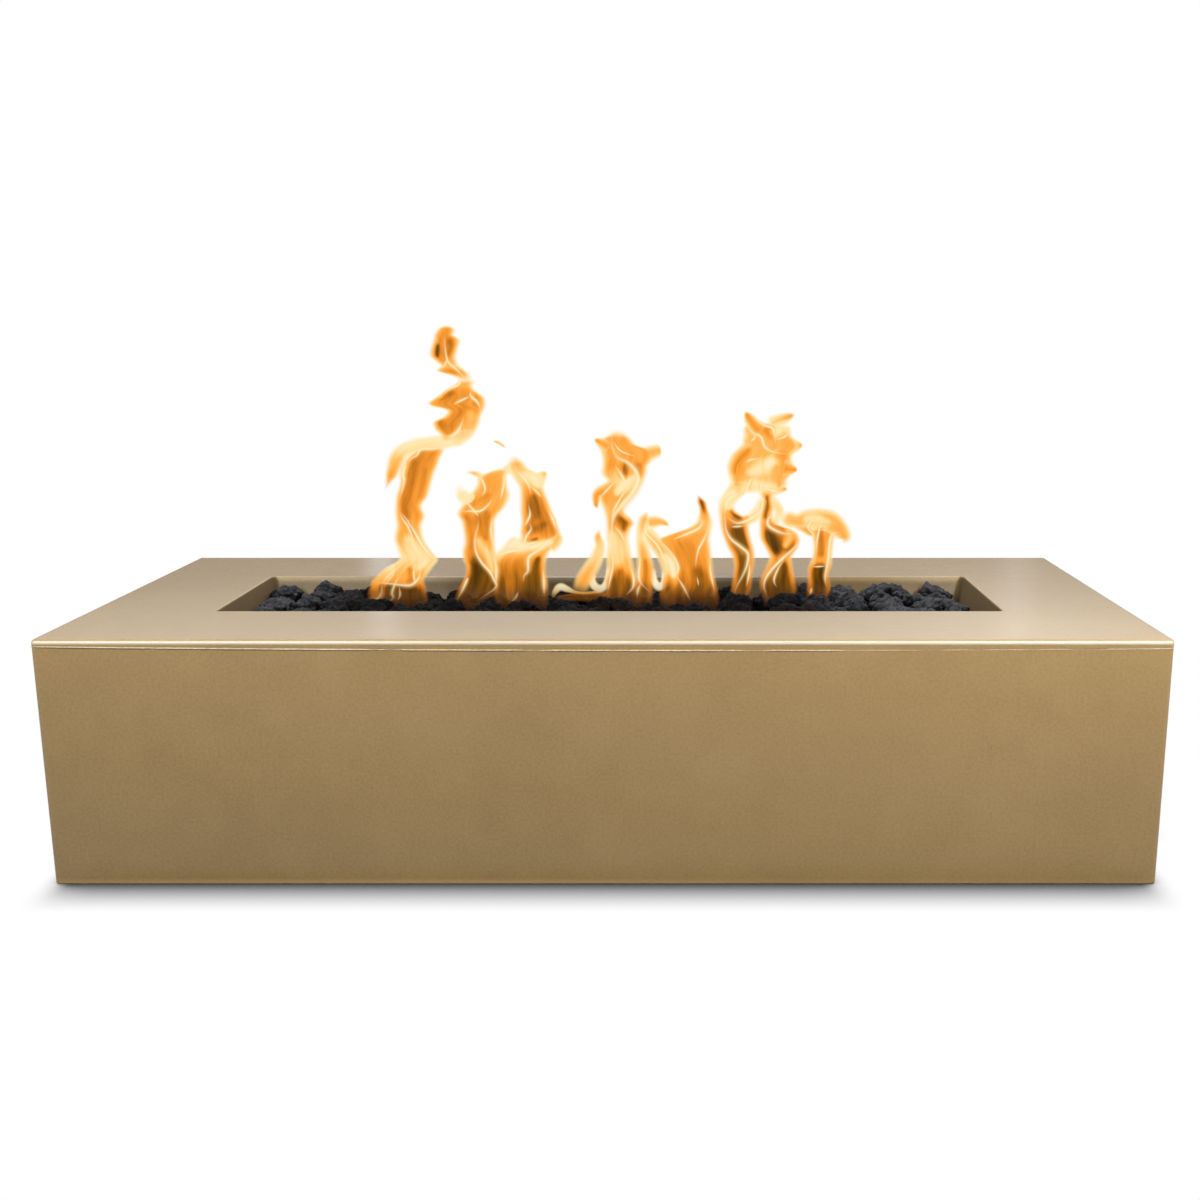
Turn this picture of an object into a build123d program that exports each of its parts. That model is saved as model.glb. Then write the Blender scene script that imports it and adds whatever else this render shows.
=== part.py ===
"""Long, low gas fire pit: a one-piece cast concrete shell round a drop-in pan of lava stones.

Millimetres, +Z up. The origin is the middle of the footprint, on the ground.
+X runs along the length, to the right as seen from the front, and -Y is the front.
"""
import math
import os
import random

from build123d import *

os.makedirs("parts", exist_ok=True)

# Overall sizes of the shell: 70 by 30 by 16 inches
LENGTH = 1778.0
DEPTH = 762.0
HEIGHT = 406.4

# Shell walls and arrises
WALL = 22.0
DECK_THICKNESS = 26.0
DECK_MARGIN = 216.0  # width of the deck all round the opening
CORNER_RADIUS = 8.0  # upright corners
TOP_RADIUS = 6.35  # arris round the deck
FOOT_RADIUS = 4.0  # arris round the ground line
FOOT_WIDTH = 40.0  # thickened rim that the shell stands on
FOOT_HEIGHT = 45.0
FOOT_SLOPE = 20.0  # height in which the rim thins to the wall

# Parting line of the mould, a fine groove round the shell that sags in the middle
SEAM_DROP_LEFT = 10.5
SEAM_DROP_MIDDLE = 16.5
SEAM_DROP_RIGHT = 13.5
SEAM_WIDTH = 1.2
SEAM_DEPTH = 0.7

# Throat: the sloping wall from the deck down to the ledge that carries the pan
THROAT_DEPTH = 112.0
THROAT_DRAFT = 18.0
THROAT_WALL = 20.0
THROAT_CORNER = 9.0
MOUTH_RADIUS = 2.5
LEDGE_WIDTH = 28.0
LEDGE_THICKNESS = 20.0

# Drop-in pan of stainless sheet
PAN_SHEET = 2.0
PAN_DEPTH = 46.0
PAN_GAP = 3.0  # play round the flange and round the tray
WEEP_RADIUS = 4.0
WEEP_PITCH = 150.0
WEEP_INSET = 30.0

# Pipe work: half-inch fittings
PIPE_RADIUS = 10.65
GAS_WAY = 7.0
THREAD_GAP = 0.15  # radial play that stands for each screwed fit
SOCKET_DEPTH = 13.0
LOCKNUT_FLATS = 34.0
LOCKNUT_THICKNESS = 6.0
ELBOW_RADIUS = 14.0
ELBOW_REACH = 24.0
SPIGOT_RADIUS = 9.5
SPIGOT_LENGTH = 14.0
HOSE_NUT_FLATS = 27.0
HOSE_NUT_LENGTH = 26.0
FITTING_GAP = 1.0  # thread left showing between two fittings

# Linear burner
BURNER_RADIUS = 13.35
BURNER_WALL = 2.0
BURNER_END_GAP = 216.0  # from each end of the opening to the burner's end
HUB_LENGTH = 60.0
HUB_SIDE = 38.0
HUB_SOCKET = 18.0
HUB_PIPE_DEPTH = 6.5
HUB_FILLET = 3.0
CAP_WALL = 3.0
CAP_LENGTH = 16.0
PORT_RADIUS = 1.6
PORT_PITCH = 25.0
PORT_TILT = 35.0
PORT_END_GAP = 15.0
SADDLE_WIDTH = 30.0
SADDLE_SPAN = 56.0
SADDLE_SHEET = 3.0
SADDLE_WEB = 4.0
SADDLE_WEB_SPAN = 34.0
SADDLE_END_GAP = 90.0
SADDLE_GAP = 0.2
SADDLE_SCREW_INSET = 6.0
SADDLE_SCREW_RADIUS = 2.5
SADDLE_SCREW_HEAD = 4.4
SADDLE_HEAD_HEIGHT = 3.0
SADDLE_NUT_FLATS = 8.0
SADDLE_NUT_THICKNESS = 4.0
SCREW_TIP = 2.0  # screw showing past its nut
SCREW_PLAY = 0.2

# Key valve inside the right end wall
VALVE_Y = 230.0
VALVE_INSET = 62.0  # from the wall's inner face to the middle of the ball
VALVE_RADIUS = 17.0
VALVE_DROP = 24.0
VALVE_RISE = 36.0
BOSS_RADIUS = 13.0
BOSS_REACH = 28.0
BALL_RADIUS = 11.0
BALL_BORE = 6.5
SEAT_LIP = 1.5  # reach of the seats past the ball, sideways and along the gas way
SEAT_THICKNESS = 5.0
SEAT_GAP = 0.2
INLET_FLATS = 36.0
INLET_LENGTH = 24.0
INLET_BORE = 9.3
INLET_DEPTH = 16.0
STEM_RADIUS = 5.0
STEM_SHOULDER = 6.8
STEM_SHOULDER_LENGTH = 3.5
STEM_PLAY = 0.3
TANG_THICKNESS = 4.0
TANG_HEIGHT = 9.0
TANG_DEPTH = 3.2  # how far the tang reaches into the ball
BONNET_RADIUS = 8.0
BONNET_FLATS = 24.0
BONNET_LENGTH = 12.0
STEM_HEAD_GAP = 1.45  # play between the stem's head and the sleeve round it
STEM_HEAD_BASE = 6.0
STEM_HEAD_SETBACK = 15.0  # from the escutcheon's face in to the socket's mouth
SLEEVE_RADIUS = 13.35
SLEEVE_WALL = 2.9
SLEEVE_PLAY = 0.6
SLEEVE_NUT_FLATS = 36.0
SLEEVE_NUT_THICKNESS = 7.0
ESCUTCHEON_RADIUS = 38.0
ESCUTCHEON_THICKNESS = 5.0
ESCUTCHEON_FILLET = 3.0

# Loose key
KEY_SQUARE = 7.8
KEY_PLAY = 0.2
KEY_GRIP = 16.0
KEY_SHAFT_RADIUS = 4.75
KEY_REACH = 70.0  # from the escutcheon's face to the middle of the handle
KEY_HANDLE_RADIUS = 5.0
KEY_HANDLE_LENGTH = 70.0

# Gas hose: its straight leads and its bends, as shares of the way from burner to valve
HOSE_LEAD = 140.0
HOSE_BENDS = [(0.40, 0.30), (0.60, 0.72)]
HOSE_LOOSENESS = 0.45  # share of the shorter run that each bend takes up

# Vent plates in the end walls
VENT_LENGTH = 230.0
VENT_HEIGHT = 110.0
VENT_MIDDLE = 150.0
VENT_SHEET = 2.0
VENT_CORNER = 6.0
VENT_LAP = 18.0
VENT_SLOT = 4.5
VENT_SLOT_PITCH = 9.0
VENT_SLOT_MARGIN = 6.0
VENT_SCREW_RADIUS = 2.1
VENT_SCREW_LENGTH = 16.0
VENT_HEAD_RADIUS = 4.2
VENT_HEAD_HEIGHT = 2.6

# Lava rock
BED_DROP = 52.0  # from the deck down to the bed that the top stones lie on
BED_GAP = 1.5
CHANNEL_GAP = 4.0
STONE_LENGTH = 56.0
STONE_WIDTH = 45.0
STONE_LOW = 28.0  # least height of a stone
STONE_HIGH = 46.0  # greatest height of a stone
STONE_LANE_HIGH = 36.0  # greatest height beside the flames
STONE_GAP = 1.2
LANE_WIDTH = 20.0  # clear strip for the feet of the flames
STONE_SEED = 11
# Rings of corners on a stone: how many, at what share of its height, least and greatest reach
STONE_RINGS = [(5, 0.0, 0.65, 0.8), (6, 0.42, 0.84, 1.0), (4, 1.0, 0.35, 0.62)]
STONE_SKEW = 0.2  # how unevenly the corners of a ring are spaced
STONE_DIP = 0.14  # how far a corner may lie below its level

# Flames, from left to right: stations of middle, height above the deck and half width
FLAME_LINE = 914.0  # length of burner that the stations below are drawn for
FLAME_THICKNESS = 8.0
FLAME_LIFT = 0.3
FLAME_TONGUES = [
    [(-400, -40, 30), (-396, 13, 42), (-363, 60, 32), (-371, 134, 21), (-357, 206, 21), (-338, 258, 42),
     (-285, 290, 28), (-276, 338, 45), (-262, 376, 20), (-280, 410, 27), (-295, 472, 9)],
    [(-250, -40, 26), (-247, 60, 26), (-247, 97, 22), (-247, 152, 34), (-237, 197, 43), (-228, 217, 26)],
    [(-168, -40, 34), (-161, 51, 34), (-135, 124, 30), (-139, 161, 27), (-153, 206, 20), (-170, 238, 8)],
    [(-54, -40, 15), (-40, 41, 11), (-30, 88, 6)],
    [(9, -40, 22), (8, 23, 24), (7, 69, 17), (10, 124, 21), (-4, 161, 21), (7, 206, 32), (25, 246, 40),
     (12, 273, 36), (11, 296, 12)],
    [(70, -40, 18), (67, 32, 20), (66, 78, 17), (69, 124, 22), (76, 139, 12)],
    [(140, -40, 36), (135, 41, 40), (134, 88, 36), (156, 119, 16), (163, 148, 7), (157, 168, 4)],
    [(233, -40, 12), (238, 23, 13), (232, 60, 16), (221, 97, 17), (219, 134, 23), (224, 155, 18)],
    [(302, -40, 26), (298, 23, 23), (297, 49, 16), (302, 88, 30), (285, 124, 16), (281, 155, 11),
     (263, 188, 48), (271, 224, 54), (283, 257, 54), (279, 287, 41), (283, 314, 44), (264, 330, 12)],
    [(377, -40, 14), (376, 23, 14), (379, 74, 15), (375, 102, 34), (370, 118, 47), (373, 145, 27)],
]

# Heights and places that follow from the sizes above
throat_slope = math.tan(math.radians(THROAT_DRAFT))
throat_skew = THROAT_WALL / math.cos(math.radians(THROAT_DRAFT))
mouth_length = LENGTH - 2 * DECK_MARGIN
mouth_width = DEPTH - 2 * DECK_MARGIN
deck_underside = HEIGHT - DECK_THICKNESS
ledge_top = HEIGHT - THROAT_DEPTH
ledge_bottom = ledge_top - LEDGE_THICKNESS
room_length = LENGTH - 2 * WALL
room_depth = DEPTH - 2 * WALL
pan_top = ledge_top + PAN_SHEET
pan_underside = pan_top - PAN_DEPTH
pan_floor = pan_underside + PAN_SHEET
burner_length = mouth_length - 2 * BURNER_END_GAP
hub_bottom = pan_floor + LOCKNUT_THICKNESS + FITTING_GAP
burner_z = hub_bottom + HUB_SIDE / 2
elbow_top = pan_underside - LOCKNUT_THICKNESS - FITTING_GAP
elbow_z = elbow_top - ELBOW_REACH
valve_x = LENGTH / 2 - WALL - VALVE_INSET
valve_z = elbow_z - ELBOW_REACH - FITTING_GAP - VALVE_RISE
bonnet_face = valve_x + BOSS_REACH + BONNET_LENGTH
escutcheon_face = LENGTH / 2 + ESCUTCHEON_THICKNESS
stem_head_face = escutcheon_face - STEM_HEAD_SETBACK
socket_floor = stem_head_face - KEY_GRIP
bed_top = HEIGHT - BED_DROP
seat_radius = BALL_RADIUS + SEAT_LIP
seat_far = BALL_RADIUS + SEAT_LIP
seat_near = seat_far - SEAT_THICKNESS
tang_start = BALL_RADIUS - TANG_DEPTH
stem_head_radius = SLEEVE_RADIUS - SLEEVE_WALL - STEM_HEAD_GAP
flame_spread = burner_length / FLAME_LINE
valve_plane = Plane(origin=(valve_x, VALVE_Y, valve_z))
stem_axis_plane = Plane(origin=(0, VALVE_Y, valve_z), x_dir=(0, 1, 0), z_dir=(1, 0, 0))
LOW_END = (Align.CENTER, Align.CENTER, Align.MIN)
ALONG_X = (0, 90, 0)


def throat_size(z, outset=0.0):
    """Length and width of the tapering throat at height z, grown by outset on every side."""
    inset = (HEIGHT - z) * throat_slope - outset
    return mouth_length - 2 * inset, mouth_width - 2 * inset


def save(piece, name):
    """Label a finished piece and write it to its own file."""
    piece.part.label = name
    export_step(piece.part, f"parts/{name}.step")


ledge_length, ledge_width = throat_size(ledge_top)
pan_opening_length = ledge_length - 2 * LEDGE_WIDTH
pan_opening_width = ledge_width - 2 * LEDGE_WIDTH
tray_length = pan_opening_length - 2 * PAN_GAP
tray_width = pan_opening_width - 2 * PAN_GAP
vent_cut_length = VENT_LENGTH - 2 * VENT_LAP
vent_cut_height = VENT_HEIGHT - 2 * VENT_LAP
vent_screw_places = GridLocations(VENT_LENGTH - VENT_LAP, VENT_HEIGHT - VENT_LAP, 2, 2)
saddle_x = burner_length / 2 - SADDLE_END_GAP
saddle_screw_y = SADDLE_SPAN / 2 - SADDLE_SCREW_INSET
end_planes = {
    "left": Plane(origin=(-LENGTH / 2, 0, VENT_MIDDLE), x_dir=(0, -1, 0), z_dir=(-1, 0, 0)),
    "right": Plane(origin=(LENGTH / 2, 0, VENT_MIDDLE), x_dir=(0, 1, 0), z_dir=(1, 0, 0)),
}


# Parting line: a thin band, sagging along the length, that runs past the shell and bites into its faces
with BuildPart() as seam_band:
    with BuildSketch(Plane.XZ):
        with BuildLine():
            seam_left = (-LENGTH / 2 - WALL, HEIGHT - SEAM_DROP_LEFT)
            seam_middle = (0, HEIGHT - SEAM_DROP_MIDDLE)
            seam_right = (LENGTH / 2 + WALL, HEIGHT - SEAM_DROP_RIGHT)
            upper = ThreePointArc(seam_left, seam_middle, seam_right)
            lower = ThreePointArc(*[(x, z - SEAM_WIDTH) for x, z in (seam_left, seam_middle, seam_right)])
            Line(upper @ 0, lower @ 0)
            Line(upper @ 1, lower @ 1)
        make_face()
    extrude(amount=DEPTH / 2 + WALL, both=True)
    with BuildSketch():
        RectangleRounded(LENGTH - 2 * SEAM_DEPTH, DEPTH - 2 * SEAM_DEPTH, CORNER_RADIUS)
    extrude(amount=HEIGHT, mode=Mode.SUBTRACT)

# Cast shell
with BuildPart() as body_shell:
    with BuildSketch():
        RectangleRounded(LENGTH, DEPTH, CORNER_RADIUS)
    extrude(amount=HEIGHT)
    fillet(body_shell.faces().sort_by(Axis.Z)[-1].edges(), TOP_RADIUS)
    fillet(body_shell.faces().sort_by(Axis.Z)[0].edges(), FOOT_RADIUS)
    # Room inside, above a thickened foot
    with BuildSketch():
        Rectangle(LENGTH - 2 * FOOT_WIDTH, DEPTH - 2 * FOOT_WIDTH)
    extrude(amount=FOOT_HEIGHT, mode=Mode.SUBTRACT)
    with BuildSketch(Plane.XY.offset(FOOT_HEIGHT)):
        Rectangle(LENGTH - 2 * FOOT_WIDTH, DEPTH - 2 * FOOT_WIDTH)
    with BuildSketch(Plane.XY.offset(FOOT_HEIGHT + FOOT_SLOPE)):
        Rectangle(room_length, room_depth)
    loft(mode=Mode.SUBTRACT)
    with BuildSketch(Plane.XY.offset(FOOT_HEIGHT + FOOT_SLOPE)):
        Rectangle(room_length, room_depth)
    extrude(amount=deck_underside - FOOT_HEIGHT - FOOT_SLOPE, mode=Mode.SUBTRACT)
    # Throat wall hanging below the deck, then the opening inside it
    for z in (ledge_bottom, deck_underside):
        with BuildSketch(Plane.XY.offset(z)):
            RectangleRounded(*throat_size(z, throat_skew), THROAT_CORNER)
    loft()
    for z in (ledge_top, HEIGHT):
        with BuildSketch(Plane.XY.offset(z)):
            RectangleRounded(*throat_size(z), THROAT_CORNER)
    loft(mode=Mode.SUBTRACT)
    with BuildSketch(Plane.XY.offset(ledge_bottom)):
        RectangleRounded(pan_opening_length, pan_opening_width, THROAT_CORNER)
    extrude(amount=LEDGE_THICKNESS, mode=Mode.SUBTRACT)
    mouth = body_shell.faces().sort_by(Axis.Z)[-1].inner_wires()[0]
    fillet(mouth.edges(), MOUTH_RADIUS)
    add(seam_band.part, mode=Mode.SUBTRACT)
    # Passages through the end walls
    for plane in end_planes.values():
        with BuildSketch(plane):
            RectangleRounded(vent_cut_length, vent_cut_height, VENT_SLOT)
        extrude(amount=-WALL, mode=Mode.SUBTRACT)
        with BuildSketch(plane):
            with vent_screw_places:
                Circle(VENT_SCREW_RADIUS + SCREW_PLAY)
        extrude(amount=-VENT_SCREW_LENGTH - FITTING_GAP, mode=Mode.SUBTRACT)
    with BuildSketch(Plane.YZ.offset(LENGTH / 2)):
        with Locations((VALVE_Y, valve_z)):
            Circle(SLEEVE_RADIUS + SLEEVE_PLAY)
    extrude(amount=-WALL, mode=Mode.SUBTRACT)
save(body_shell, "body_shell")

# Drop-in pan: a flange on the ledge and a tray below it, with weep holes
with BuildPart() as fire_pan:
    with BuildSketch(Plane.XY.offset(ledge_top)):
        RectangleRounded(ledge_length - 2 * PAN_GAP, ledge_width - 2 * PAN_GAP, THROAT_CORNER)
    extrude(amount=PAN_SHEET)
    with BuildSketch(Plane.XY.offset(pan_underside)):
        RectangleRounded(tray_length, tray_width, THROAT_CORNER)
    extrude(amount=PAN_DEPTH)
    with BuildSketch(Plane.XY.offset(pan_floor)):
        RectangleRounded(tray_length - 2 * PAN_SHEET, tray_width - 2 * PAN_SHEET, THROAT_CORNER - PAN_SHEET)
    extrude(amount=PAN_DEPTH, mode=Mode.SUBTRACT)
    weep_count = int((tray_length - 2 * WEEP_INSET) / WEEP_PITCH) + 1
    with BuildSketch(Plane.XY.offset(pan_underside)):
        with GridLocations(WEEP_PITCH, tray_width - 2 * WEEP_INSET, weep_count, 2):
            Circle(WEEP_RADIUS)
        with GridLocations(2 * saddle_x, 2 * saddle_screw_y, 2, 2):
            Circle(SADDLE_SCREW_RADIUS + SCREW_PLAY)
        Circle(PIPE_RADIUS + THREAD_GAP)
    extrude(amount=PAN_SHEET, mode=Mode.SUBTRACT)
save(fire_pan, "fire_pan")

# Burner hub: a block with a socket for each tube and one below for the nipple
with BuildPart() as burner_hub:
    with Locations((0, 0, burner_z)):
        Box(HUB_LENGTH, HUB_SIDE, HUB_SIDE)
        fillet(burner_hub.edges().filter_by(Axis.X), HUB_FILLET)
        Cylinder(BURNER_RADIUS - BURNER_WALL, HUB_LENGTH, rotation=ALONG_X, mode=Mode.SUBTRACT)
    for side in (-1, 1):
        with Locations((side * (HUB_LENGTH - HUB_SOCKET) / 2, 0, burner_z)):
            Cylinder(BURNER_RADIUS + THREAD_GAP, HUB_SOCKET, rotation=ALONG_X, mode=Mode.SUBTRACT)
    with Locations((0, 0, hub_bottom)):
        Cylinder(GAS_WAY, HUB_SIDE / 2, align=LOW_END, mode=Mode.SUBTRACT)
        Cylinder(PIPE_RADIUS + THREAD_GAP, HUB_PIPE_DEPTH, align=LOW_END, mode=Mode.SUBTRACT)
save(burner_hub, "burner_hub")

# Burner tubes with two rows of ports, their end caps and the saddles that carry them
tube_start = HUB_LENGTH / 2 - HUB_SOCKET
tube_end = burner_length / 2 - CAP_WALL
port_count = int((tube_end - CAP_LENGTH - HUB_LENGTH / 2 - 2 * PORT_END_GAP) / PORT_PITCH) + 1
for name, side in (("left", -1), ("right", 1)):
    outward = Plane(origin=(0, 0, burner_z), x_dir=(0, 0, 1), z_dir=(side, 0, 0))
    with BuildPart() as burner_tube:
        with BuildSketch(outward.offset(tube_start)):
            Circle(BURNER_RADIUS)
            Circle(BURNER_RADIUS - BURNER_WALL, mode=Mode.SUBTRACT)
        extrude(amount=tube_end - tube_start)
        ports = []
        for index in range(port_count):
            port_x = side * (HUB_LENGTH / 2 + PORT_END_GAP + index * PORT_PITCH)
            ports += [Location((port_x, 0, burner_z), (tilt, 0, 0)) for tilt in (-PORT_TILT, PORT_TILT)]
        with Locations(*ports):
            Cylinder(PORT_RADIUS, BURNER_RADIUS + PORT_RADIUS, align=LOW_END, mode=Mode.SUBTRACT)
    save(burner_tube, f"burner_tube_{name}")

    with BuildPart() as burner_cap:
        with BuildSketch(outward.offset(tube_end + CAP_WALL - CAP_LENGTH)):
            Circle(BURNER_RADIUS + CAP_WALL)
        extrude(amount=CAP_LENGTH)
        fillet(burner_cap.faces().sort_by(Axis.X)[0 if side < 0 else -1].edges(), CAP_WALL / 2)
        with BuildSketch(outward.offset(tube_end + CAP_WALL - CAP_LENGTH)):
            Circle(BURNER_RADIUS + THREAD_GAP)
        extrude(amount=CAP_LENGTH - CAP_WALL, mode=Mode.SUBTRACT)
    save(burner_cap, f"burner_cap_{name}")

    with BuildPart() as burner_saddle:
        with Locations((side * saddle_x, 0, pan_floor)):
            Box(SADDLE_WIDTH, SADDLE_SPAN, SADDLE_SHEET, align=LOW_END)
            Box(SADDLE_WEB, SADDLE_WEB_SPAN, burner_z - pan_floor, align=LOW_END)
        with Locations((side * saddle_x, 0, burner_z)):
            Cylinder(BURNER_RADIUS + SADDLE_GAP, SADDLE_WIDTH, rotation=ALONG_X, mode=Mode.SUBTRACT)
        with BuildSketch(Plane.XY.offset(pan_floor)):
            with Locations((side * saddle_x, saddle_screw_y), (side * saddle_x, -saddle_screw_y)):
                Circle(SADDLE_SCREW_RADIUS + SCREW_PLAY)
        extrude(amount=SADDLE_SHEET, mode=Mode.SUBTRACT)
    save(burner_saddle, f"burner_saddle_{name}")

# Four screws hold the saddles to the pan, with nuts below it
saddle_screw_places = GridLocations(2 * saddle_x, 2 * saddle_screw_y, 2, 2)
screw_length = SADDLE_SHEET + PAN_SHEET + SADDLE_NUT_THICKNESS + SCREW_TIP
with BuildPart() as saddle_screws:
    with BuildSketch(Plane.XY.offset(pan_floor + SADDLE_SHEET)):
        with saddle_screw_places:
            Circle(SADDLE_SCREW_HEAD)
    extrude(amount=SADDLE_HEAD_HEIGHT)
    fillet(saddle_screws.edges().group_by(Axis.Z)[-1], SADDLE_HEAD_HEIGHT / 2)
    with BuildSketch(Plane.XY.offset(pan_floor + SADDLE_SHEET)):
        with saddle_screw_places:
            Circle(SADDLE_SCREW_RADIUS)
    extrude(amount=-screw_length)
save(saddle_screws, "saddle_screws")

with BuildPart() as saddle_nuts:
    with BuildSketch(Plane.XY.offset(pan_underside)):
        with saddle_screw_places:
            RegularPolygon(SADDLE_NUT_FLATS / 2, 6, major_radius=False)
            Circle(SADDLE_SCREW_RADIUS + THREAD_GAP, mode=Mode.SUBTRACT)
    extrude(amount=-SADDLE_NUT_THICKNESS)
save(saddle_nuts, "saddle_nuts")


def make_nipple(plane, length):
    """A short threaded pipe that starts on a plane and runs along its normal."""
    with BuildPart() as nipple:
        with BuildSketch(plane):
            Circle(PIPE_RADIUS)
            Circle(GAS_WAY, mode=Mode.SUBTRACT)
        extrude(amount=length)
    return nipple


def make_hex_ring(plane, flats, bore_radius, length):
    """A nut that sits on a plane and reaches out along its normal."""
    with BuildPart() as ring:
        with BuildSketch(plane):
            RegularPolygon(flats / 2, 6, major_radius=False)
            Circle(bore_radius, mode=Mode.SUBTRACT)
        extrude(amount=length)
    return ring


def make_elbow(plane):
    """A right-angled fitting: a socket along the plane's normal and a spigot along its x direction."""
    with BuildPart(plane) as elbow:
        Sphere(ELBOW_RADIUS)
        Cylinder(ELBOW_RADIUS, ELBOW_REACH, align=LOW_END)
        Cylinder(ELBOW_RADIUS, ELBOW_REACH, rotation=ALONG_X, align=LOW_END)
        Cylinder(SPIGOT_RADIUS, ELBOW_REACH + SPIGOT_LENGTH, rotation=ALONG_X, align=LOW_END)
        Cylinder(GAS_WAY, ELBOW_REACH, align=LOW_END, mode=Mode.SUBTRACT)
        Cylinder(GAS_WAY, ELBOW_REACH + SPIGOT_LENGTH, rotation=ALONG_X, align=LOW_END, mode=Mode.SUBTRACT)
        with Locations((0, 0, ELBOW_REACH - SOCKET_DEPTH)):
            Cylinder(PIPE_RADIUS + THREAD_GAP, SOCKET_DEPTH, align=LOW_END, mode=Mode.SUBTRACT)
    return elbow


# Gas pipe from the hub down through the pan, clamped by two locknuts
nipple_bottom = elbow_top - SOCKET_DEPTH
nipple_top = hub_bottom + HUB_PIPE_DEPTH
save(make_nipple(Plane.XY.offset(nipple_bottom), nipple_top - nipple_bottom), "pan_nipple")
locknut_bore = PIPE_RADIUS + THREAD_GAP
upper_nut_plane = Plane.XY.offset(pan_floor)
lower_nut_plane = Plane.XY.offset(pan_underside - LOCKNUT_THICKNESS)
save(make_hex_ring(upper_nut_plane, LOCKNUT_FLATS, locknut_bore, LOCKNUT_THICKNESS), "pan_locknut_top")
save(make_hex_ring(lower_nut_plane, LOCKNUT_FLATS, locknut_bore, LOCKNUT_THICKNESS), "pan_locknut_bottom")

# Elbows at both ends of the hose: one under the pan, one turned over on top of the valve
burner_elbow_plane = Plane(origin=(0, 0, elbow_z))
valve_elbow_plane = Plane(origin=(valve_x, VALVE_Y, elbow_z), x_dir=(-1, 0, 0), z_dir=(0, 0, -1))
save(make_elbow(burner_elbow_plane), "burner_elbow")
save(make_elbow(valve_elbow_plane), "valve_elbow")
valve_nipple_plane = Plane(origin=(valve_x, VALVE_Y, valve_z + VALVE_RISE - SOCKET_DEPTH))
save(make_nipple(valve_nipple_plane, 2 * SOCKET_DEPTH + FITTING_GAP), "valve_nipple")

# Flexible hose between the elbows, with a nut at each end
hose_start = Vector(ELBOW_REACH + SPIGOT_LENGTH, 0, elbow_z)
hose_end = Vector(valve_x - ELBOW_REACH - SPIGOT_LENGTH, VALVE_Y, elbow_z)
hose_span = hose_end - hose_start
hose_route = [hose_start, hose_start + Vector(HOSE_LEAD, 0, 0)]
for along, across in HOSE_BENDS:
    hose_route.append(hose_start + Vector(hose_span.X * along, hose_span.Y * across, 0))
hose_route += [hose_end - Vector(HOSE_LEAD, 0, 0), hose_end]
hose_radii = []
for before, corner, after in zip(hose_route, hose_route[1:], hose_route[2:]):
    turn = math.radians((corner - before).get_angle(after - corner))
    shorter_run = min((corner - before).length, (after - corner).length)
    hose_radii.append(HOSE_LOOSENESS * shorter_run / math.tan(turn / 2))
print("hose bend radii", [round(radius) for radius in hose_radii])
with BuildPart() as gas_hose:
    with BuildLine() as hose_line:
        FilletPolyline(*hose_route, radius=hose_radii)
    with BuildSketch(Plane(origin=hose_start, x_dir=(0, 1, 0), z_dir=(1, 0, 0))):
        Circle(SPIGOT_RADIUS)
        Circle(GAS_WAY, mode=Mode.SUBTRACT)
    sweep(path=hose_line.wire())
hose_volume = math.pi * (SPIGOT_RADIUS**2 - GAS_WAY**2) * hose_line.wire().length
print("hose volume", round(gas_hose.part.volume), "section times length", round(hose_volume))
save(gas_hose, "gas_hose")
hose_nut_bore = SPIGOT_RADIUS + THREAD_GAP
hose_nut_start = ELBOW_REACH + FITTING_GAP
burner_nut_plane = Plane(origin=(hose_nut_start, 0, elbow_z), x_dir=(0, 1, 0), z_dir=(1, 0, 0))
valve_nut_x = valve_x - hose_nut_start
valve_nut_plane = Plane(origin=(valve_nut_x, VALVE_Y, elbow_z), x_dir=(0, 1, 0), z_dir=(-1, 0, 0))
save(make_hex_ring(burner_nut_plane, HOSE_NUT_FLATS, hose_nut_bore, HOSE_NUT_LENGTH), "hose_nut_burner")
save(make_hex_ring(valve_nut_plane, HOSE_NUT_FLATS, hose_nut_bore, HOSE_NUT_LENGTH), "hose_nut_valve")

# Valve body: gas rises through the ball, and the stem leaves towards the end wall
with BuildPart(valve_plane) as valve_body:
    with Locations((0, 0, -VALVE_DROP)):
        Cylinder(VALVE_RADIUS, VALVE_DROP + VALVE_RISE, align=LOW_END)
    Cylinder(BOSS_RADIUS, BOSS_REACH, rotation=ALONG_X, align=LOW_END)
    with Locations((0, 0, -VALVE_DROP)):
        Cylinder(seat_radius + THREAD_GAP, VALVE_DROP + seat_far, align=LOW_END, mode=Mode.SUBTRACT)
    Cylinder(GAS_WAY, VALVE_RISE, align=LOW_END, mode=Mode.SUBTRACT)
    with Locations((0, 0, VALVE_RISE - SOCKET_DEPTH)):
        Cylinder(PIPE_RADIUS + THREAD_GAP, SOCKET_DEPTH, align=LOW_END, mode=Mode.SUBTRACT)
    Cylinder(BONNET_RADIUS + THREAD_GAP, BOSS_REACH, rotation=ALONG_X, align=LOW_END, mode=Mode.SUBTRACT)
save(valve_body, "valve_body")

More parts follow.
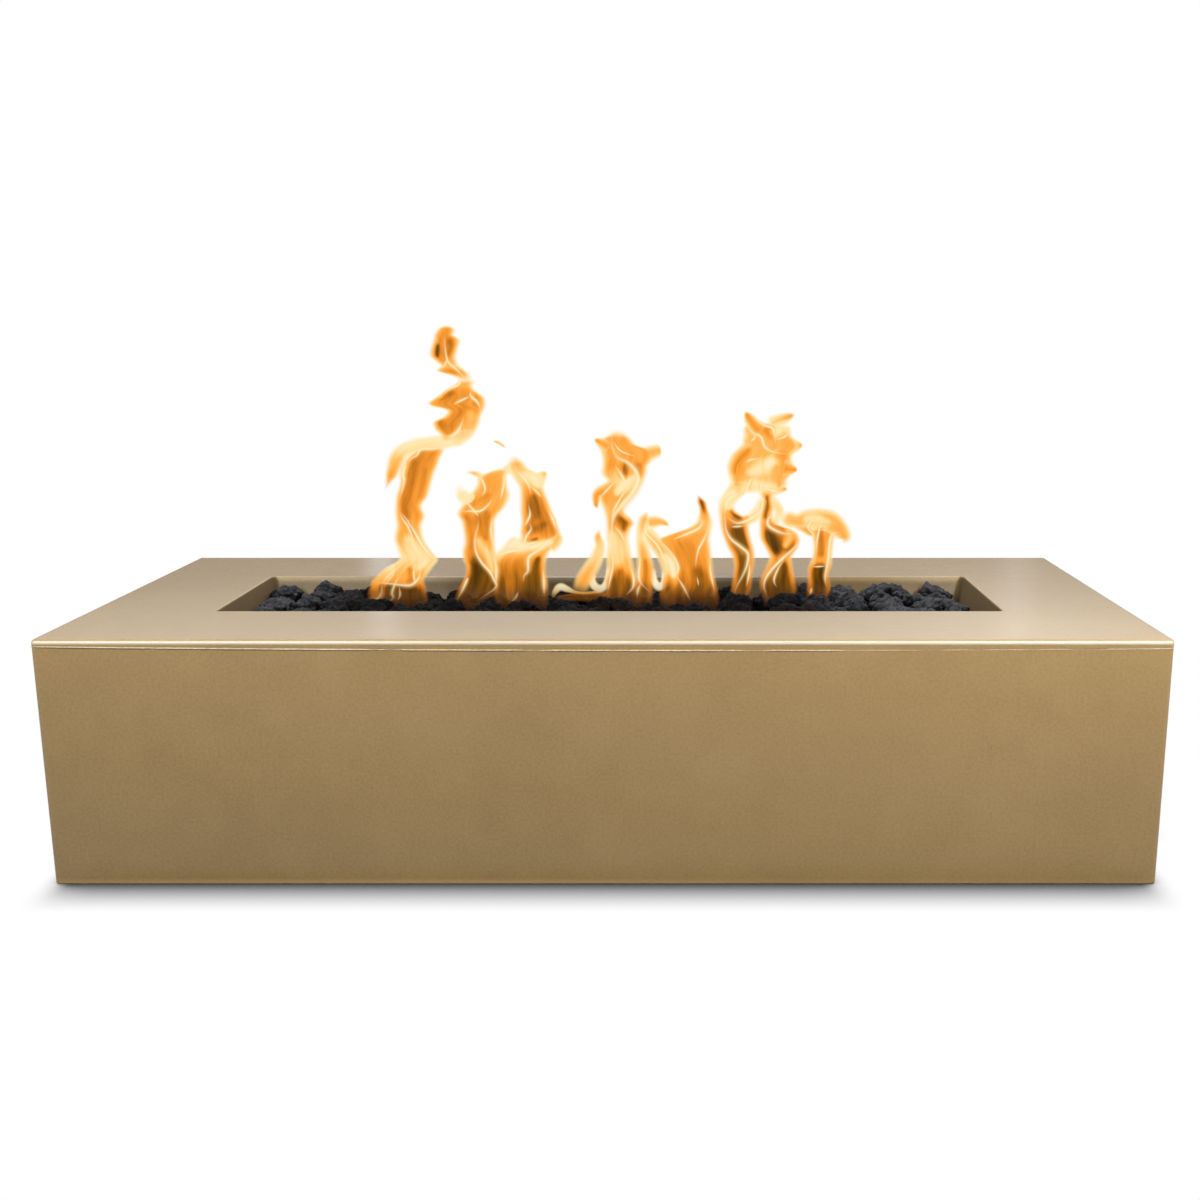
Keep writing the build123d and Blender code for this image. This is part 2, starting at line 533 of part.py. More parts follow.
# Inlet piece screwed in from below, with the tapped mouth for the supply pipe
with BuildPart(valve_plane) as valve_inlet:
    with BuildSketch(valve_plane.offset(-VALVE_DROP)):
        RegularPolygon(INLET_FLATS / 2, 6, major_radius=False)
    extrude(amount=-INLET_LENGTH)
    with Locations((0, 0, -VALVE_DROP)):
        Cylinder(seat_radius, VALVE_DROP - seat_far, align=LOW_END)
    with Locations((0, 0, -VALVE_DROP - INLET_LENGTH)):
        Cylinder(GAS_WAY, INLET_LENGTH + VALVE_DROP - seat_far, align=LOW_END, mode=Mode.SUBTRACT)
        Cylinder(INLET_BORE, INLET_DEPTH, align=LOW_END, mode=Mode.SUBTRACT)
save(valve_inlet, "valve_inlet")

# Two soft seats, one above and one below the ball
with BuildPart(valve_plane) as valve_seats:
    with Locations((0, 0, seat_near), (0, 0, -seat_far)):
        Cylinder(seat_radius, seat_far - seat_near, align=LOW_END)
    Cylinder(GAS_WAY, 2 * seat_far, mode=Mode.SUBTRACT)
    Sphere(BALL_RADIUS + SEAT_GAP, mode=Mode.SUBTRACT)
save(valve_seats, "valve_seats")

# Ball, bored upright while the gas is on, with a slot for the stem's tang
slot_floor = tang_start - SEAT_GAP
with BuildPart(valve_plane) as valve_ball:
    Sphere(BALL_RADIUS)
    Cylinder(BALL_BORE, 2 * BALL_RADIUS, mode=Mode.SUBTRACT)
    with Locations((slot_floor + BALL_RADIUS / 2, 0, 0)):
        Box(BALL_RADIUS, TANG_THICKNESS + 2 * SEAT_GAP, 2 * BALL_RADIUS, mode=Mode.SUBTRACT)
save(valve_ball, "valve_ball")

# Stem: tang, shoulder, rod and a head with a square socket
shoulder_start = BALL_RADIUS + STEM_PLAY
shoulder_end = shoulder_start + STEM_SHOULDER_LENGTH
head_start = socket_floor - STEM_HEAD_BASE - valve_x
head_end = stem_head_face - valve_x
with BuildPart(valve_plane) as valve_stem:
    with Locations(((tang_start + shoulder_end) / 2, 0, 0)):
        Box(shoulder_end - tang_start, TANG_THICKNESS, TANG_HEIGHT)
    with Locations((shoulder_start, 0, 0)):
        Cylinder(STEM_SHOULDER, STEM_SHOULDER_LENGTH, rotation=ALONG_X, align=LOW_END)
    with Locations((shoulder_end, 0, 0)):
        Cylinder(STEM_RADIUS, head_start - shoulder_end, rotation=ALONG_X, align=LOW_END)
    with Locations((head_start, 0, 0)):
        Cylinder(stem_head_radius, head_end - head_start, rotation=ALONG_X, align=LOW_END)
    with Locations((head_end - KEY_GRIP / 2, 0, 0)):
        Box(KEY_GRIP, KEY_SQUARE + 2 * KEY_PLAY, KEY_SQUARE + 2 * KEY_PLAY, mode=Mode.SUBTRACT)
save(valve_stem, "valve_stem")

# Bonnet nut that keeps the stem in
bonnet_start = shoulder_end + STEM_PLAY
with BuildPart(valve_plane) as valve_bonnet:
    with Locations((bonnet_start, 0, 0)):
        Cylinder(BONNET_RADIUS, BOSS_REACH - bonnet_start, rotation=ALONG_X, align=LOW_END)
    with BuildSketch(stem_axis_plane.offset(valve_x + BOSS_REACH)):
        RegularPolygon(BONNET_FLATS / 2, 6, major_radius=False)
    extrude(amount=BONNET_LENGTH)
    Cylinder(STEM_RADIUS + STEM_PLAY, BOSS_REACH + BONNET_LENGTH, rotation=ALONG_X, align=LOW_END,
             mode=Mode.SUBTRACT)
save(valve_bonnet, "valve_bonnet")

# Sleeve that leads the key through the wall, its locknut inside and the escutcheon outside
with BuildPart() as valve_sleeve:
    with BuildSketch(stem_axis_plane.offset(bonnet_face)):
        Circle(SLEEVE_RADIUS)
        Circle(SLEEVE_RADIUS - SLEEVE_WALL, mode=Mode.SUBTRACT)
    extrude(amount=escutcheon_face - bonnet_face)
save(valve_sleeve, "valve_sleeve")

sleeve_nut_plane = stem_axis_plane.offset(LENGTH / 2 - WALL - SLEEVE_NUT_THICKNESS)
sleeve_bore = SLEEVE_RADIUS + THREAD_GAP
save(make_hex_ring(sleeve_nut_plane, SLEEVE_NUT_FLATS, sleeve_bore, SLEEVE_NUT_THICKNESS), "sleeve_locknut")

with BuildPart() as escutcheon:
    with BuildSketch(stem_axis_plane.offset(LENGTH / 2)):
        Circle(ESCUTCHEON_RADIUS)
    extrude(amount=ESCUTCHEON_THICKNESS)
    fillet(escutcheon.faces().sort_by(Axis.X)[-1].edges(), ESCUTCHEON_FILLET)
    with BuildSketch(stem_axis_plane.offset(LENGTH / 2)):
        Circle(SLEEVE_RADIUS + THREAD_GAP)
    extrude(amount=ESCUTCHEON_THICKNESS, mode=Mode.SUBTRACT)
save(escutcheon, "escutcheon")

# Loose key: a square tip in the stem's socket, a round shaft and a cross handle
tip_start = socket_floor + STEM_PLAY
handle_x = escutcheon_face + KEY_REACH
with BuildPart() as gas_key:
    with BuildSketch(stem_axis_plane.offset(tip_start)):
        Rectangle(KEY_SQUARE, KEY_SQUARE)
    extrude(amount=stem_head_face - tip_start)
    with BuildSketch(stem_axis_plane.offset(stem_head_face)):
        Circle(KEY_SHAFT_RADIUS)
    extrude(amount=handle_x - stem_head_face)
    with Locations((handle_x, VALVE_Y, valve_z)):
        Cylinder(KEY_HANDLE_RADIUS, KEY_HANDLE_LENGTH - 2 * KEY_HANDLE_RADIUS)
    half_bar = KEY_HANDLE_LENGTH / 2 - KEY_HANDLE_RADIUS
    with Locations((handle_x, VALVE_Y, valve_z + half_bar), (handle_x, VALVE_Y, valve_z - half_bar)):
        Sphere(KEY_HANDLE_RADIUS)
save(gas_key, "gas_key")

# Vent plates over the cut-outs in the end walls, each held by four screws
slot_count = int((vent_cut_height - VENT_SLOT_PITCH) / VENT_SLOT_PITCH) + 1
for name, plane in end_planes.items():
    with BuildPart() as vent:
        with BuildSketch(plane):
            RectangleRounded(VENT_LENGTH, VENT_HEIGHT, VENT_CORNER)
            with GridLocations(VENT_LENGTH, VENT_SLOT_PITCH, 1, slot_count):
                SlotOverall(vent_cut_length - 2 * VENT_SLOT_MARGIN, VENT_SLOT, mode=Mode.SUBTRACT)
            with vent_screw_places:
                Circle(VENT_SCREW_RADIUS + SCREW_PLAY, mode=Mode.SUBTRACT)
        extrude(amount=VENT_SHEET)
    save(vent, f"vent_{name}")

with BuildPart() as vent_screws:
    for plane in end_planes.values():
        with BuildSketch(plane.offset(VENT_SHEET)):
            with vent_screw_places:
                Circle(VENT_HEAD_RADIUS)
        extrude(amount=VENT_HEAD_HEIGHT)
        with BuildSketch(plane.offset(VENT_SHEET)):
            with vent_screw_places:
                Circle(VENT_SCREW_RADIUS)
        extrude(amount=-VENT_SHEET - VENT_SCREW_LENGTH)
    head_rims = vent_screws.edges().filter_by(GeomType.CIRCLE)
    fillet(head_rims.group_by(Axis.X)[0] + head_rims.group_by(Axis.X)[-1], VENT_HEAD_HEIGHT / 2)
save(vent_screws, "vent_screws")

# Lava fill: a block in the tray and a tapered block in the throat, with a channel round the burner
throat_fill_bottom = pan_top + BED_GAP
channel_length = burner_length + 2 * CHANNEL_GAP
channel_width = SADDLE_SPAN + 2 * CHANNEL_GAP
channel_top = burner_z + HUB_SIDE / 2 + CHANNEL_GAP
with BuildPart() as lava_bed:
    with BuildSketch(Plane.XY.offset(pan_floor)):
        fill_play = 2 * (PAN_SHEET + BED_GAP)
        RectangleRounded(tray_length - fill_play, tray_width - fill_play, THROAT_CORNER)
    extrude(amount=throat_fill_bottom - pan_floor)
    for z in (throat_fill_bottom, bed_top):
        with BuildSketch(Plane.XY.offset(z)):
            RectangleRounded(*throat_size(z, -BED_GAP), THROAT_CORNER)
    loft()
    with Locations((0, 0, pan_floor)):
        Box(channel_length, channel_width, channel_top - pan_floor, align=LOW_END, mode=Mode.SUBTRACT)
save(lava_bed, "lava_bed")


def stone_points(middle_x, middle_y, height, chance):
    """Corner points of one broken stone: a small foot ring, a wide waist ring and a top ring."""
    points = []
    half_length = (STONE_LENGTH - STONE_GAP) / 2
    half_width = (STONE_WIDTH - STONE_GAP) / 2
    for corners, level, least, most in STONE_RINGS:
        start = chance.uniform(0, 2 * math.pi)
        for corner in range(corners):
            angle = start + 2 * math.pi * (corner + chance.uniform(-STONE_SKEW, STONE_SKEW)) / corners
            reach = chance.uniform(least, most)
            x = middle_x + half_length * reach * math.cos(angle)
            y = middle_y + half_width * reach * math.sin(angle)
            points.append((x, y, bed_top + height * level * (1 - chance.uniform(0, STONE_DIP))))
    return points


# Top stones in rows on both sides of the strip where the flames stand
bed_length, bed_width = throat_size(bed_top, -BED_GAP)
stone_columns = int(bed_length / STONE_LENGTH)
stone_rows = int((bed_width - LANE_WIDTH) / 2 / STONE_WIDTH)
chance = random.Random(STONE_SEED)
for name, side in (("front", -1), ("back", 1)):
    stones = []
    for row in range(stone_rows):
        row_y = side * (LANE_WIDTH / 2 + (row + 0.5) * STONE_WIDTH)
        for column in range(stone_columns):
            column_x = (column - (stone_columns - 1) / 2) * STONE_LENGTH
            tallest = STONE_HIGH if row else STONE_LANE_HIGH
            shape = stone_points(column_x, row_y, chance.uniform(STONE_LOW, tallest), chance)
            stones.append(ConvexPolyhedron(shape, mode=Mode.PRIVATE))
    with BuildPart() as lava_stones:
        add(stones)
    save(lava_stones, f"lava_stones_{name}")

# Flames: one closed tongue each, standing in the clear strip between the stones
with BuildPart() as flames:
    for tongue in FLAME_TONGUES:
        foot_x, _, foot_half = tongue[0]
        stations = [(foot_x, bed_top + FLAME_LIFT, foot_half)]
        stations += [(x, HEIGHT + rise, half) for x, rise, half in tongue[1:]]
        for x, z, half in stations:
            with BuildSketch(Plane.XY.offset(z)):
                with Locations((x * flame_spread, 0)):
                    Ellipse(half * flame_spread, min(half * flame_spread, FLAME_THICKNESS))
        loft(ruled=True)
save(flames, "flames")
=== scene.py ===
# %% [markdown]
# # A long gas fire pit in cast concrete
#
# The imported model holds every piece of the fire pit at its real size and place: the shell, the pan and
# burner, the gas line with its key valve, the vents, the stones and the flames. Blender adds what the
# eye sees of them: the finish of each surface, stones with the lumps of lava rock, a ribbed hose, and
# flames that burn. Nothing of the model is moved. A piece that needs a richer shape replaces its plain
# node, and every other node keeps its shape and gets a finish.

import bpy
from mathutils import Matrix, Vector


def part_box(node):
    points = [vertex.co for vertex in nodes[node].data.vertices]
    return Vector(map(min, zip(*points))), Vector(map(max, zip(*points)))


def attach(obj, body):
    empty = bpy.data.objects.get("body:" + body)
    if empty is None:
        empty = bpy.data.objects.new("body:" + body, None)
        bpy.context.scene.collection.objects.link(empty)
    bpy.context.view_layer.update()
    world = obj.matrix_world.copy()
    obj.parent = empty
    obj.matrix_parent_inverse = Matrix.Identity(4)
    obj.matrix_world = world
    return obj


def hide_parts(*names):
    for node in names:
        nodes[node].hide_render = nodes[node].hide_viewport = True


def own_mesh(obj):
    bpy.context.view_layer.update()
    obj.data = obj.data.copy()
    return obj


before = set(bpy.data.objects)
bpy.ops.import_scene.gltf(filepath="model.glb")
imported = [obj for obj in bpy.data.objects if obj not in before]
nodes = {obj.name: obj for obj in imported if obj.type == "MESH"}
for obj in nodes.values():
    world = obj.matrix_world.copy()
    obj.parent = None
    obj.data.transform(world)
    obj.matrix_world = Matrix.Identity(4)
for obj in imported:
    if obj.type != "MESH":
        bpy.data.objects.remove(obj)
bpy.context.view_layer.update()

# %% [markdown]
# ## Node trees written as sums
#
# Finishes and repeated shapes are both node trees. They could be wired node by node, but a sum such as
# `1 - mask` then takes five lines. Here one class wraps an output socket, so that Python's own
# operators add the Math nodes, and one method adds every other kind of node: its settings first, then
# its sockets.

# %% A socket that can be added and multiplied
import bpy


class Wire:
    """An output socket that takes part in Python sums. Each operator adds one Math node to its board."""

    def __init__(self, board, socket):
        self.board = board
        self.socket = socket

    def other(self, name):
        """Another output of the same node."""
        return Wire(self.board, self.socket.node.outputs[name])

    def __add__(self, value):
        return self.board.maths("ADD", self, value)

    def __sub__(self, value):
        return self.board.maths("SUBTRACT", self, value)

    def __rsub__(self, value):
        return self.board.maths("SUBTRACT", value, self)

    def __mul__(self, value):
        return self.board.maths("MULTIPLY", self, value)

    def __truediv__(self, value):
        return self.board.maths("DIVIDE", self, value)

    def __abs__(self):
        return self.board.maths("ABSOLUTE", self)

    __radd__ = __add__
    __rmul__ = __mul__


# %% A node tree to which every node is added in the same way
class Board:
    """A node tree with one method that adds nodes to it."""

    def __init__(self, tree):
        self.tree = tree

    def node(self, kind, settings=None, sockets=None, out=0):
        """Add a node. Its settings are made first, then the values or links of its sockets."""
        made = self.tree.nodes.new(kind)
        for name, value in (settings or {}).items():
            if name == "stops":
                self.set_stops(made.color_ramp, value)
            else:
                setattr(made, name, value)
        for key, value in (sockets or {}).items():
            self.join(made.inputs[key], value)
        return Wire(self, made.outputs[out]) if made.outputs else made

    def set_stops(self, ramp, stops):
        """Give a colour ramp its stops, each a place from 0 to 1 and a colour."""
        ramp.elements[0].position = stops[0][0]
        ramp.elements[-1].position = stops[-1][0]
        for place, colour in stops[1:-1]:
            ramp.elements.new(place)
        for element, (place, colour) in zip(ramp.elements, stops):
            element.color = (*colour, 1)

    def join(self, socket, value):
        """Link a wire to a socket, or set the socket to a value."""
        if isinstance(value, Wire):
            self.tree.links.new(value.socket, socket)
        elif hasattr(value, "__len__") and socket.type == "RGBA" and len(value) == 3:
            socket.default_value = (*value, 1)
        else:
            socket.default_value = value

    def maths(self, operation, *values):
        """One Math node on wires or numbers."""
        return self.node("ShaderNodeMath", {"operation": operation}, dict(enumerate(values)))


# %% [markdown]
# ## The camera
#
# The camera stands where the photograph was taken from: a little right of the middle, about as high as
# a kitchen counter, looking down by twelve degrees. It was found from the outline of the shell, whose
# real size is known. The picture was cropped off centre, which the lens shift repeats.

# %% Set up the camera
import math

PHOTO_SIDE = 1200
FOCAL_PIXELS = 1340.7
PRINCIPAL_COLUMN = 678.1
PRINCIPAL_ROW = 618.8
CAMERA_PLACE = (0.1173, -2.4044, 0.8803)
CAMERA_DOWN = 12.28

scene = bpy.context.scene
lens = bpy.data.cameras.new("photo_camera")
lens.sensor_width = 36.0
lens.lens = FOCAL_PIXELS / PHOTO_SIDE * lens.sensor_width
lens.shift_x = 0.5 - PRINCIPAL_COLUMN / PHOTO_SIDE
lens.shift_y = PRINCIPAL_ROW / PHOTO_SIDE - 0.5
camera = bpy.data.objects.new("photo_camera", lens)
camera.location = CAMERA_PLACE
camera.rotation_euler = (math.radians(90 - CAMERA_DOWN), 0, 0)
scene.collection.objects.link(camera)
scene.camera = camera
bpy.context.view_layer.update()
print("camera with a lens of", round(lens.lens, 1), "mm")

# %% [markdown]
# ## Floor and light
#
# The pit stands on plain white ground. The floor could be lit until it turns white, but that light
# would bleach the pit too. Instead floor and sky are full white to the eye alone, and lend the pit no
# more than a plain studio level. A reflection meets a dimmer floor and a dimmer, cooler studio: dark
# near the horizon, bright higher up and on the right, with two upright strip lamps. The sealed deck
# mirrors all of that, which gives it its sheen.
#
# The floor's white is dimmed by how much of the sky is hidden close by. That paints a soft shadow where
# the pit meets the ground. A mask lifts that painted shadow beside the end walls near the front, so that it
# ends at the front corners. From below the floor is clear, so that the underside can be seen.

# %% White world
AMBIENT = 0.10
HORIZON_GLOW = 0.115
SKY_GLOW = 0.83
RIGHT_GLOW = 0.36
STRIP_GLOW = 0.85
COOL_WHITE = (0.95, 1.0, 1.06)
SKY_START = (0.160, 0.230)
RIGHT_START = (0.08, 0.26)
RIGHT_END = (0.26, 0.29)
RIGHT_LEAN = 1.7
LEFT_STRIP = (-0.224, 0.019)
RIGHT_STRIP = (0.2565, 0.022)

scene.view_settings.view_transform = "Standard"
world = bpy.data.worlds.new("studio")
scene.world = world
world.use_nodes = True


def ease(board, value, start, end):
    """0 before start, 1 after end, with a smooth slope between."""
    sockets = {"Value": value, "From Min": start, "From Max": end}
    return board.node("ShaderNodeMapRange", {"interpolation_type": "SMOOTHSTEP"}, sockets)


def band(board, value, middle, half):
    """1 at the middle, 0 from half a width on."""
    return 1 - ease(board, abs(value - middle), 0.0, half)


def split(board, place):
    """The X of a place. Its Y and Z are other outputs of the same node."""
    return board.node("ShaderNodeSeparateXYZ", None, {0: place})


def tint(board, share, first, second):
    """The first colour, mixed with a share of the second."""
    return board.node("ShaderNodeMix", {"data_type": "RGBA"}, {0: share, 6: first, 7: second}, out=2)


def sky_parts(board):
    """How much a mirrored ray meets of the upper studio, of its right side and of two strip lamps."""
    x = split(board, board.node("ShaderNodeTexCoord", out="Generated"))
    z = x.other("Z")
    aside = x / board.maths("MAXIMUM", x.other("Y"), 0.1)
    rise = ease(board, z, *SKY_START)
    past = ease(board, aside - (z - 0.19) * RIGHT_LEAN, *RIGHT_END)
    right = rise * ease(board, aside, *RIGHT_START) * (1 - past * 0.6)
    left_strip = band(board, aside, *LEFT_STRIP) * (1 - rise * 0.75)
    right_strip = band(board, aside, *RIGHT_STRIP) * 0.25
    return rise, right, left_strip + right_strip


sky = Board(world.node_tree)
camera_ray = sky.node("ShaderNodeLightPath", out="Is Camera Ray")
glossy_ray = camera_ray.other("Is Glossy Ray")
plain_white = sky.maths("MAXIMUM", camera_ray, camera_ray.other("Is Transmission Ray"))
rise, right, strips = sky_parts(sky)
mirrored = HORIZON_GLOW + rise * SKY_GLOW + right * RIGHT_GLOW + strips * STRIP_GLOW
gathered = (1 - plain_white) * (glossy_ray * mirrored + (1 - glossy_ray) * AMBIENT)
backdrop = world.node_tree.nodes["Background"]
sky.join(backdrop.inputs["Color"], tint(sky, plain_white, COOL_WHITE, (1, 1, 1)))
sky.join(backdrop.inputs["Strength"], plain_white + gathered)
print("world white to the eye, ambient light", AMBIENT)

# %% Floor with a soft contact shadow
FLOOR_SIDE = 60.0
FLOOR_GREY = 0.12
FLOOR_GLOW = 0.7
SHADOW_REACH = 0.105
SHADOW_DEPTH = 0.09
SHADOW_ENDS = (0.862, 0.922)
SHADOW_FRONT = (-0.22, -0.08)


def object_place(board):
    """The place of a surface point in its object's own space, in metres."""
    return board.node("ShaderNodeTexCoord", out="Object")


def studio_floor():
    """White to the eye with a painted shadow under the pit's edge, and grey to the light that it bounces."""
    material = bpy.data.materials.new("studio_floor")
    material.use_nodes = True
    material.node_tree.nodes.clear()
    board = Board(material.node_tree)
    eye_ray = board.node("ShaderNodeLightPath", out="Is Camera Ray")
    mirror_ray = eye_ray.other("Is Glossy Ray")
    seen = board.maths("MAXIMUM", eye_ray, mirror_ray)
    seen = board.maths("MAXIMUM", seen, eye_ray.other("Is Transmission Ray"))
    # Painted shadow: ambient occlusion dims the floor's glow near the pit, and a mask lifts it beside the
    # end walls near the front.
    reach = {"Distance": SHADOW_REACH}
    free = board.node("ShaderNodeAmbientOcclusion", {"samples": 24}, reach, out="AO")
    sockets = {"Value": free, "From Min": 0.5, "To Min": SHADOW_DEPTH}
    open_sky = board.node("ShaderNodeMapRange", None, sockets)
    x = split(board, object_place(board))
    shadow_lift = ease(board, abs(x), *SHADOW_ENDS) * (1 - ease(board, x.other("Y"), *SHADOW_FRONT))
    shine = (open_sky + (1 - open_sky) * shadow_lift) * (1 - mirror_ray * (1 - FLOOR_GLOW))
    white = board.node("ShaderNodeEmission", None, {"Color": shine})
    grey = board.node("ShaderNodeBsdfDiffuse", None, {"Color": (FLOOR_GREY,) * 3})
    ground = board.node("ShaderNodeMixShader", None, {0: seen, 1: grey, 2: white})
    below = board.node("ShaderNodeNewGeometry", out="Backfacing")
    clear = board.node("ShaderNodeBsdfTransparent")
    both = board.node("ShaderNodeMixShader", None, {0: below, 1: ground, 2: clear})
    board.node("ShaderNodeOutputMaterial", None, {"Surface": both})
    return material


side = FLOOR_SIDE / 2
corners = [(-side, -side, 0), (side, -side, 0), (side, side, 0), (-side, side, 0)]
floor_mesh = bpy.data.meshes.new("floor")
floor_mesh.from_pydata(corners, [], [(0, 1, 2, 3)])
floor_mesh.materials.append(studio_floor())
floor = bpy.data.objects.new("floor", floor_mesh)
scene.collection.objects.link(floor)
print("floor", FLOOR_SIDE, "m square")

# %% [markdown]
# ## Lamps
#
# Three strips of light hang in front of the pit and one behind it, and weak fills stand at the back and
# the sides, so that no side goes black. A lamp would show in the deck as a hard white bar, so these are
# hidden from reflections. Two narrow cards do the opposite: they show only in the gloss. Seen from the
# front they draw the bright line along the upper edge. Seen from behind they lie in the deck as a
# bright bar.

# %% Soft boxes
from mathutils import Vector


def soft_box(name, place, aim, size, power):
    """An area lamp that points at a spot on the pit."""
    lamp = bpy.data.lights.new(name, "AREA")
    lamp.shape = "RECTANGLE"
    lamp.size, lamp.size_y = size
    lamp.energy = power
    box = bpy.data.objects.new(name, lamp)
    box.location = place
    box.rotation_euler = (Vector(aim) - Vector(place)).to_track_quat("-Z", "Y").to_euler()
    scene.collection.objects.link(box)
    return box


SOFT_BOXES = {
    "left_soft_box": ((-1.05, -1.0, 1.30), (-0.7, -0.38, 0.25), (1.1, 0.20), 17.0),
    "middle_soft_box": ((0.05, -1.0, 1.30), (0.05, -0.38, 0.25), (1.0, 0.20), 6.5),
    "right_soft_box": ((1.15, -1.0, 1.30), (0.8, -0.38, 0.25), (1.1, 0.20), 23.8),
    "rear_soft_box": ((0.0, 0.95, 1.25), (0, 0.2, 0.40), (2.4, 0.3), 15.0),
    "back_fill": ((0.1, 2.6, 0.40), (0, 0, 0.2), (1.2, 0.8), 24.0),
    "left_fill": ((-2.3, 0.8, 0.9), (0, 0, 0.2), (1.2, 0.8), 6.0),
    "right_fill": ((2.3, 0.8, 0.9), (0, 0, 0.2), (1.2, 0.8), 6.0),
}
for name, (place, aim, size, power) in SOFT_BOXES.items():
    box = soft_box(name, place, aim, size, power)
    box.visible_glossy = False
    box.visible_camera = False
CARDS = {"left_card": (-1.2, 1.0, 10.0), "right_card": (1.35, 0.8, 9.0)}
for name, (middle, length, power) in CARDS.items():
    card = soft_box(name, (middle, -1.95, 1.25), (middle, -0.38, 0.40), (length, 0.16), power)
    card.visible_diffuse = False
print(len(SOFT_BOXES), "soft boxes,", len(CARDS), "cards that only show in the gloss")

# %% [markdown]
# ## Cast concrete
#
# The shell is thin cast concrete, tan all through, rubbed smooth and sealed to a satin gloss. Up close
# it shows drifting clouds of tone, sand grains and a few pinholes where air was trapped. All of that is
# noise at three scales, read from Object coordinates so that it runs on round the corners.
#
# Some places differ. The inside was never sealed. Shade is painted into the throat, darkest at its ends,
# and light is painted on the upper edges, on the lip, brightest by the fire, on the corners and on the
# foot. They could be painted by hand, but each is a simple region, so masks are worked out from the
# shell's own box.

# %% Helpers for finishes
def new_finish(name):
    """A material and the board that its nodes go on."""
    material = bpy.data.materials.new(name)
    material.use_nodes = True
    return material, Board(material.node_tree)


def coat(board, sockets):
    """Set or link sockets of the material's Principled shader."""
    shader = board.tree.nodes["Principled BSDF"]
    for name, value in sockets.items():
        board.join(shader.inputs[name], value)


def stretch(board, place, factors):
    return board.node("ShaderNodeVectorMath", {"operation": "MULTIPLY"}, {0: place, 1: factors})


def noise(board, place, scale, detail=3.0, roughness=0.55):
    sockets = {"Vector": place, "Scale": scale, "Detail": detail, "Roughness": roughness}
    return board.node("ShaderNodeTexNoise", None, sockets)


def ramp(board, value, stops):
    return board.node("ShaderNodeValToRGB", {"stops": stops}, {0: value})


def bump(board, height, strength, distance):
    sockets = {"Height": height, "Strength": strength, "Distance": distance}
    return board.node("ShaderNodeBump", None, sockets)


def pits(board, place, scale, size, share):
    """Round pits: cells of a Voronoi pattern, of which only a share has a pit of this size in it."""
    cells = board.node("ShaderNodeTexVoronoi", None, {"Vector": place, "Scale": scale})
    chosen = board.maths("GREATER_THAN", cells.other("Color"), 1 - share)
    return (1 - ease(board, cells, size * 0.5, size)) * chosen


def dress(material, *names):
    """Give CAD nodes a finish. Their shape stays as it is."""
    for name in names:
        for slot in nodes[name].material_slots:
            slot.material = material


# %% Masks of the shell's painted light and shade
shell_low, shell_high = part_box("body_shell")
HOLLOW_MARGIN = 0.018
THROAT_HALF = (0.675, 0.167)
THROAT_SLOPE = math.tan(math.radians(18))
THROAT_PLAY = 0.008
FIRE_REACH = (0.20, 0.45)
END_WALLS = (0.661, 0.669)
LIP_TOP = (0.0002, 0.0008)
EDGE_SIDE = (-0.003, -0.001)
EDGE_START = (0.001, 0.003)
EDGE_END = (0.005, 0.009)
CORNER_BAND = (-0.012, 0.0)
FOOT_BAND = (0.002, 0.014)
FOOT_SIDES = (-0.2, 0.5)


def throat_masks(board, x, depth, throat):
    """Painted shade on the throat's walls, darkest at the ends, and painted light on the lip above,
    brightest by the fire.
    """
    ends = ease(board, x + depth * THROAT_SLOPE, *END_WALLS)
    by_fire = 1 - ease(board, x, *FIRE_REACH)
    below = ease(board, depth, 0.0015 + by_fire * 0.0008, 0.003 + by_fire * 0.001)
    # Painted light on the lip at the top of the throat, made brighter by the fire below.
    lip_light = throat * ease(board, depth, *LIP_TOP) * (1 - below) * (1 - ends)
    # Painted shade in the throat: it deepens below the top edge and is darkest at the ends.
    throat_shade_start = ease(board, depth, 0.001 - ends * 0.001, 0.016 - ends * 0.012)
    throat_shade = throat * (0.66 + by_fire * 0.06 + ends * 0.27) * throat_shade_start
    return throat_shade, lip_light * (0.35 + by_fire * 0.95)


def shell_masks(board, place):
    """Four masks: the raw inside, painted shade in the throat, painted highlight on the upper edges and lip,
    painted light on the foot and corners.
    """
    side = split(board, place)
    x, y, z = abs(side), abs(side.other("Y")), side.other("Z")
    inside = board.maths("LESS_THAN", x, shell_high.x - HOLLOW_MARGIN)
    inside = inside * board.maths("LESS_THAN", y, shell_high.y - HOLLOW_MARGIN)
    inside = inside * board.maths("LESS_THAN", z, shell_high.z - HOLLOW_MARGIN)
    depth = shell_high.z - z
    throat = board.maths("LESS_THAN", x + depth * THROAT_SLOPE, THROAT_HALF[0] + THROAT_PLAY)
    throat = throat * board.maths("LESS_THAN", y + depth * THROAT_SLOPE, THROAT_HALF[1] + THROAT_PLAY)
    throat_shade, lip_light = throat_masks(board, x, depth, throat)
    past_x, past_y = x - shell_high.x, y - shell_high.y
    # Painted highlight along the rounded upper edges.
    edge_highlight = ease(board, board.maths("MAXIMUM", past_x, past_y), *EDGE_SIDE)
    edge_highlight = edge_highlight * ease(board, depth, *EDGE_START) * (1 - ease(board, depth, *EDGE_END))
    edge_highlight = board.maths("MAXIMUM", edge_highlight, lip_light)
    # Painted light on the upright corners and on the foot, stronger at the left end.
    corner = ease(board, board.maths("MINIMUM", past_x, past_y), *CORNER_BAND)
    foot = (1 - ease(board, z, *FOOT_BAND)) * (1 - ease(board, side, *FOOT_SIDES) * 0.55)
    return inside * (1 - throat), throat_shade, edge_highlight, board.maths("MAXIMUM", corner * 0.4, foot)


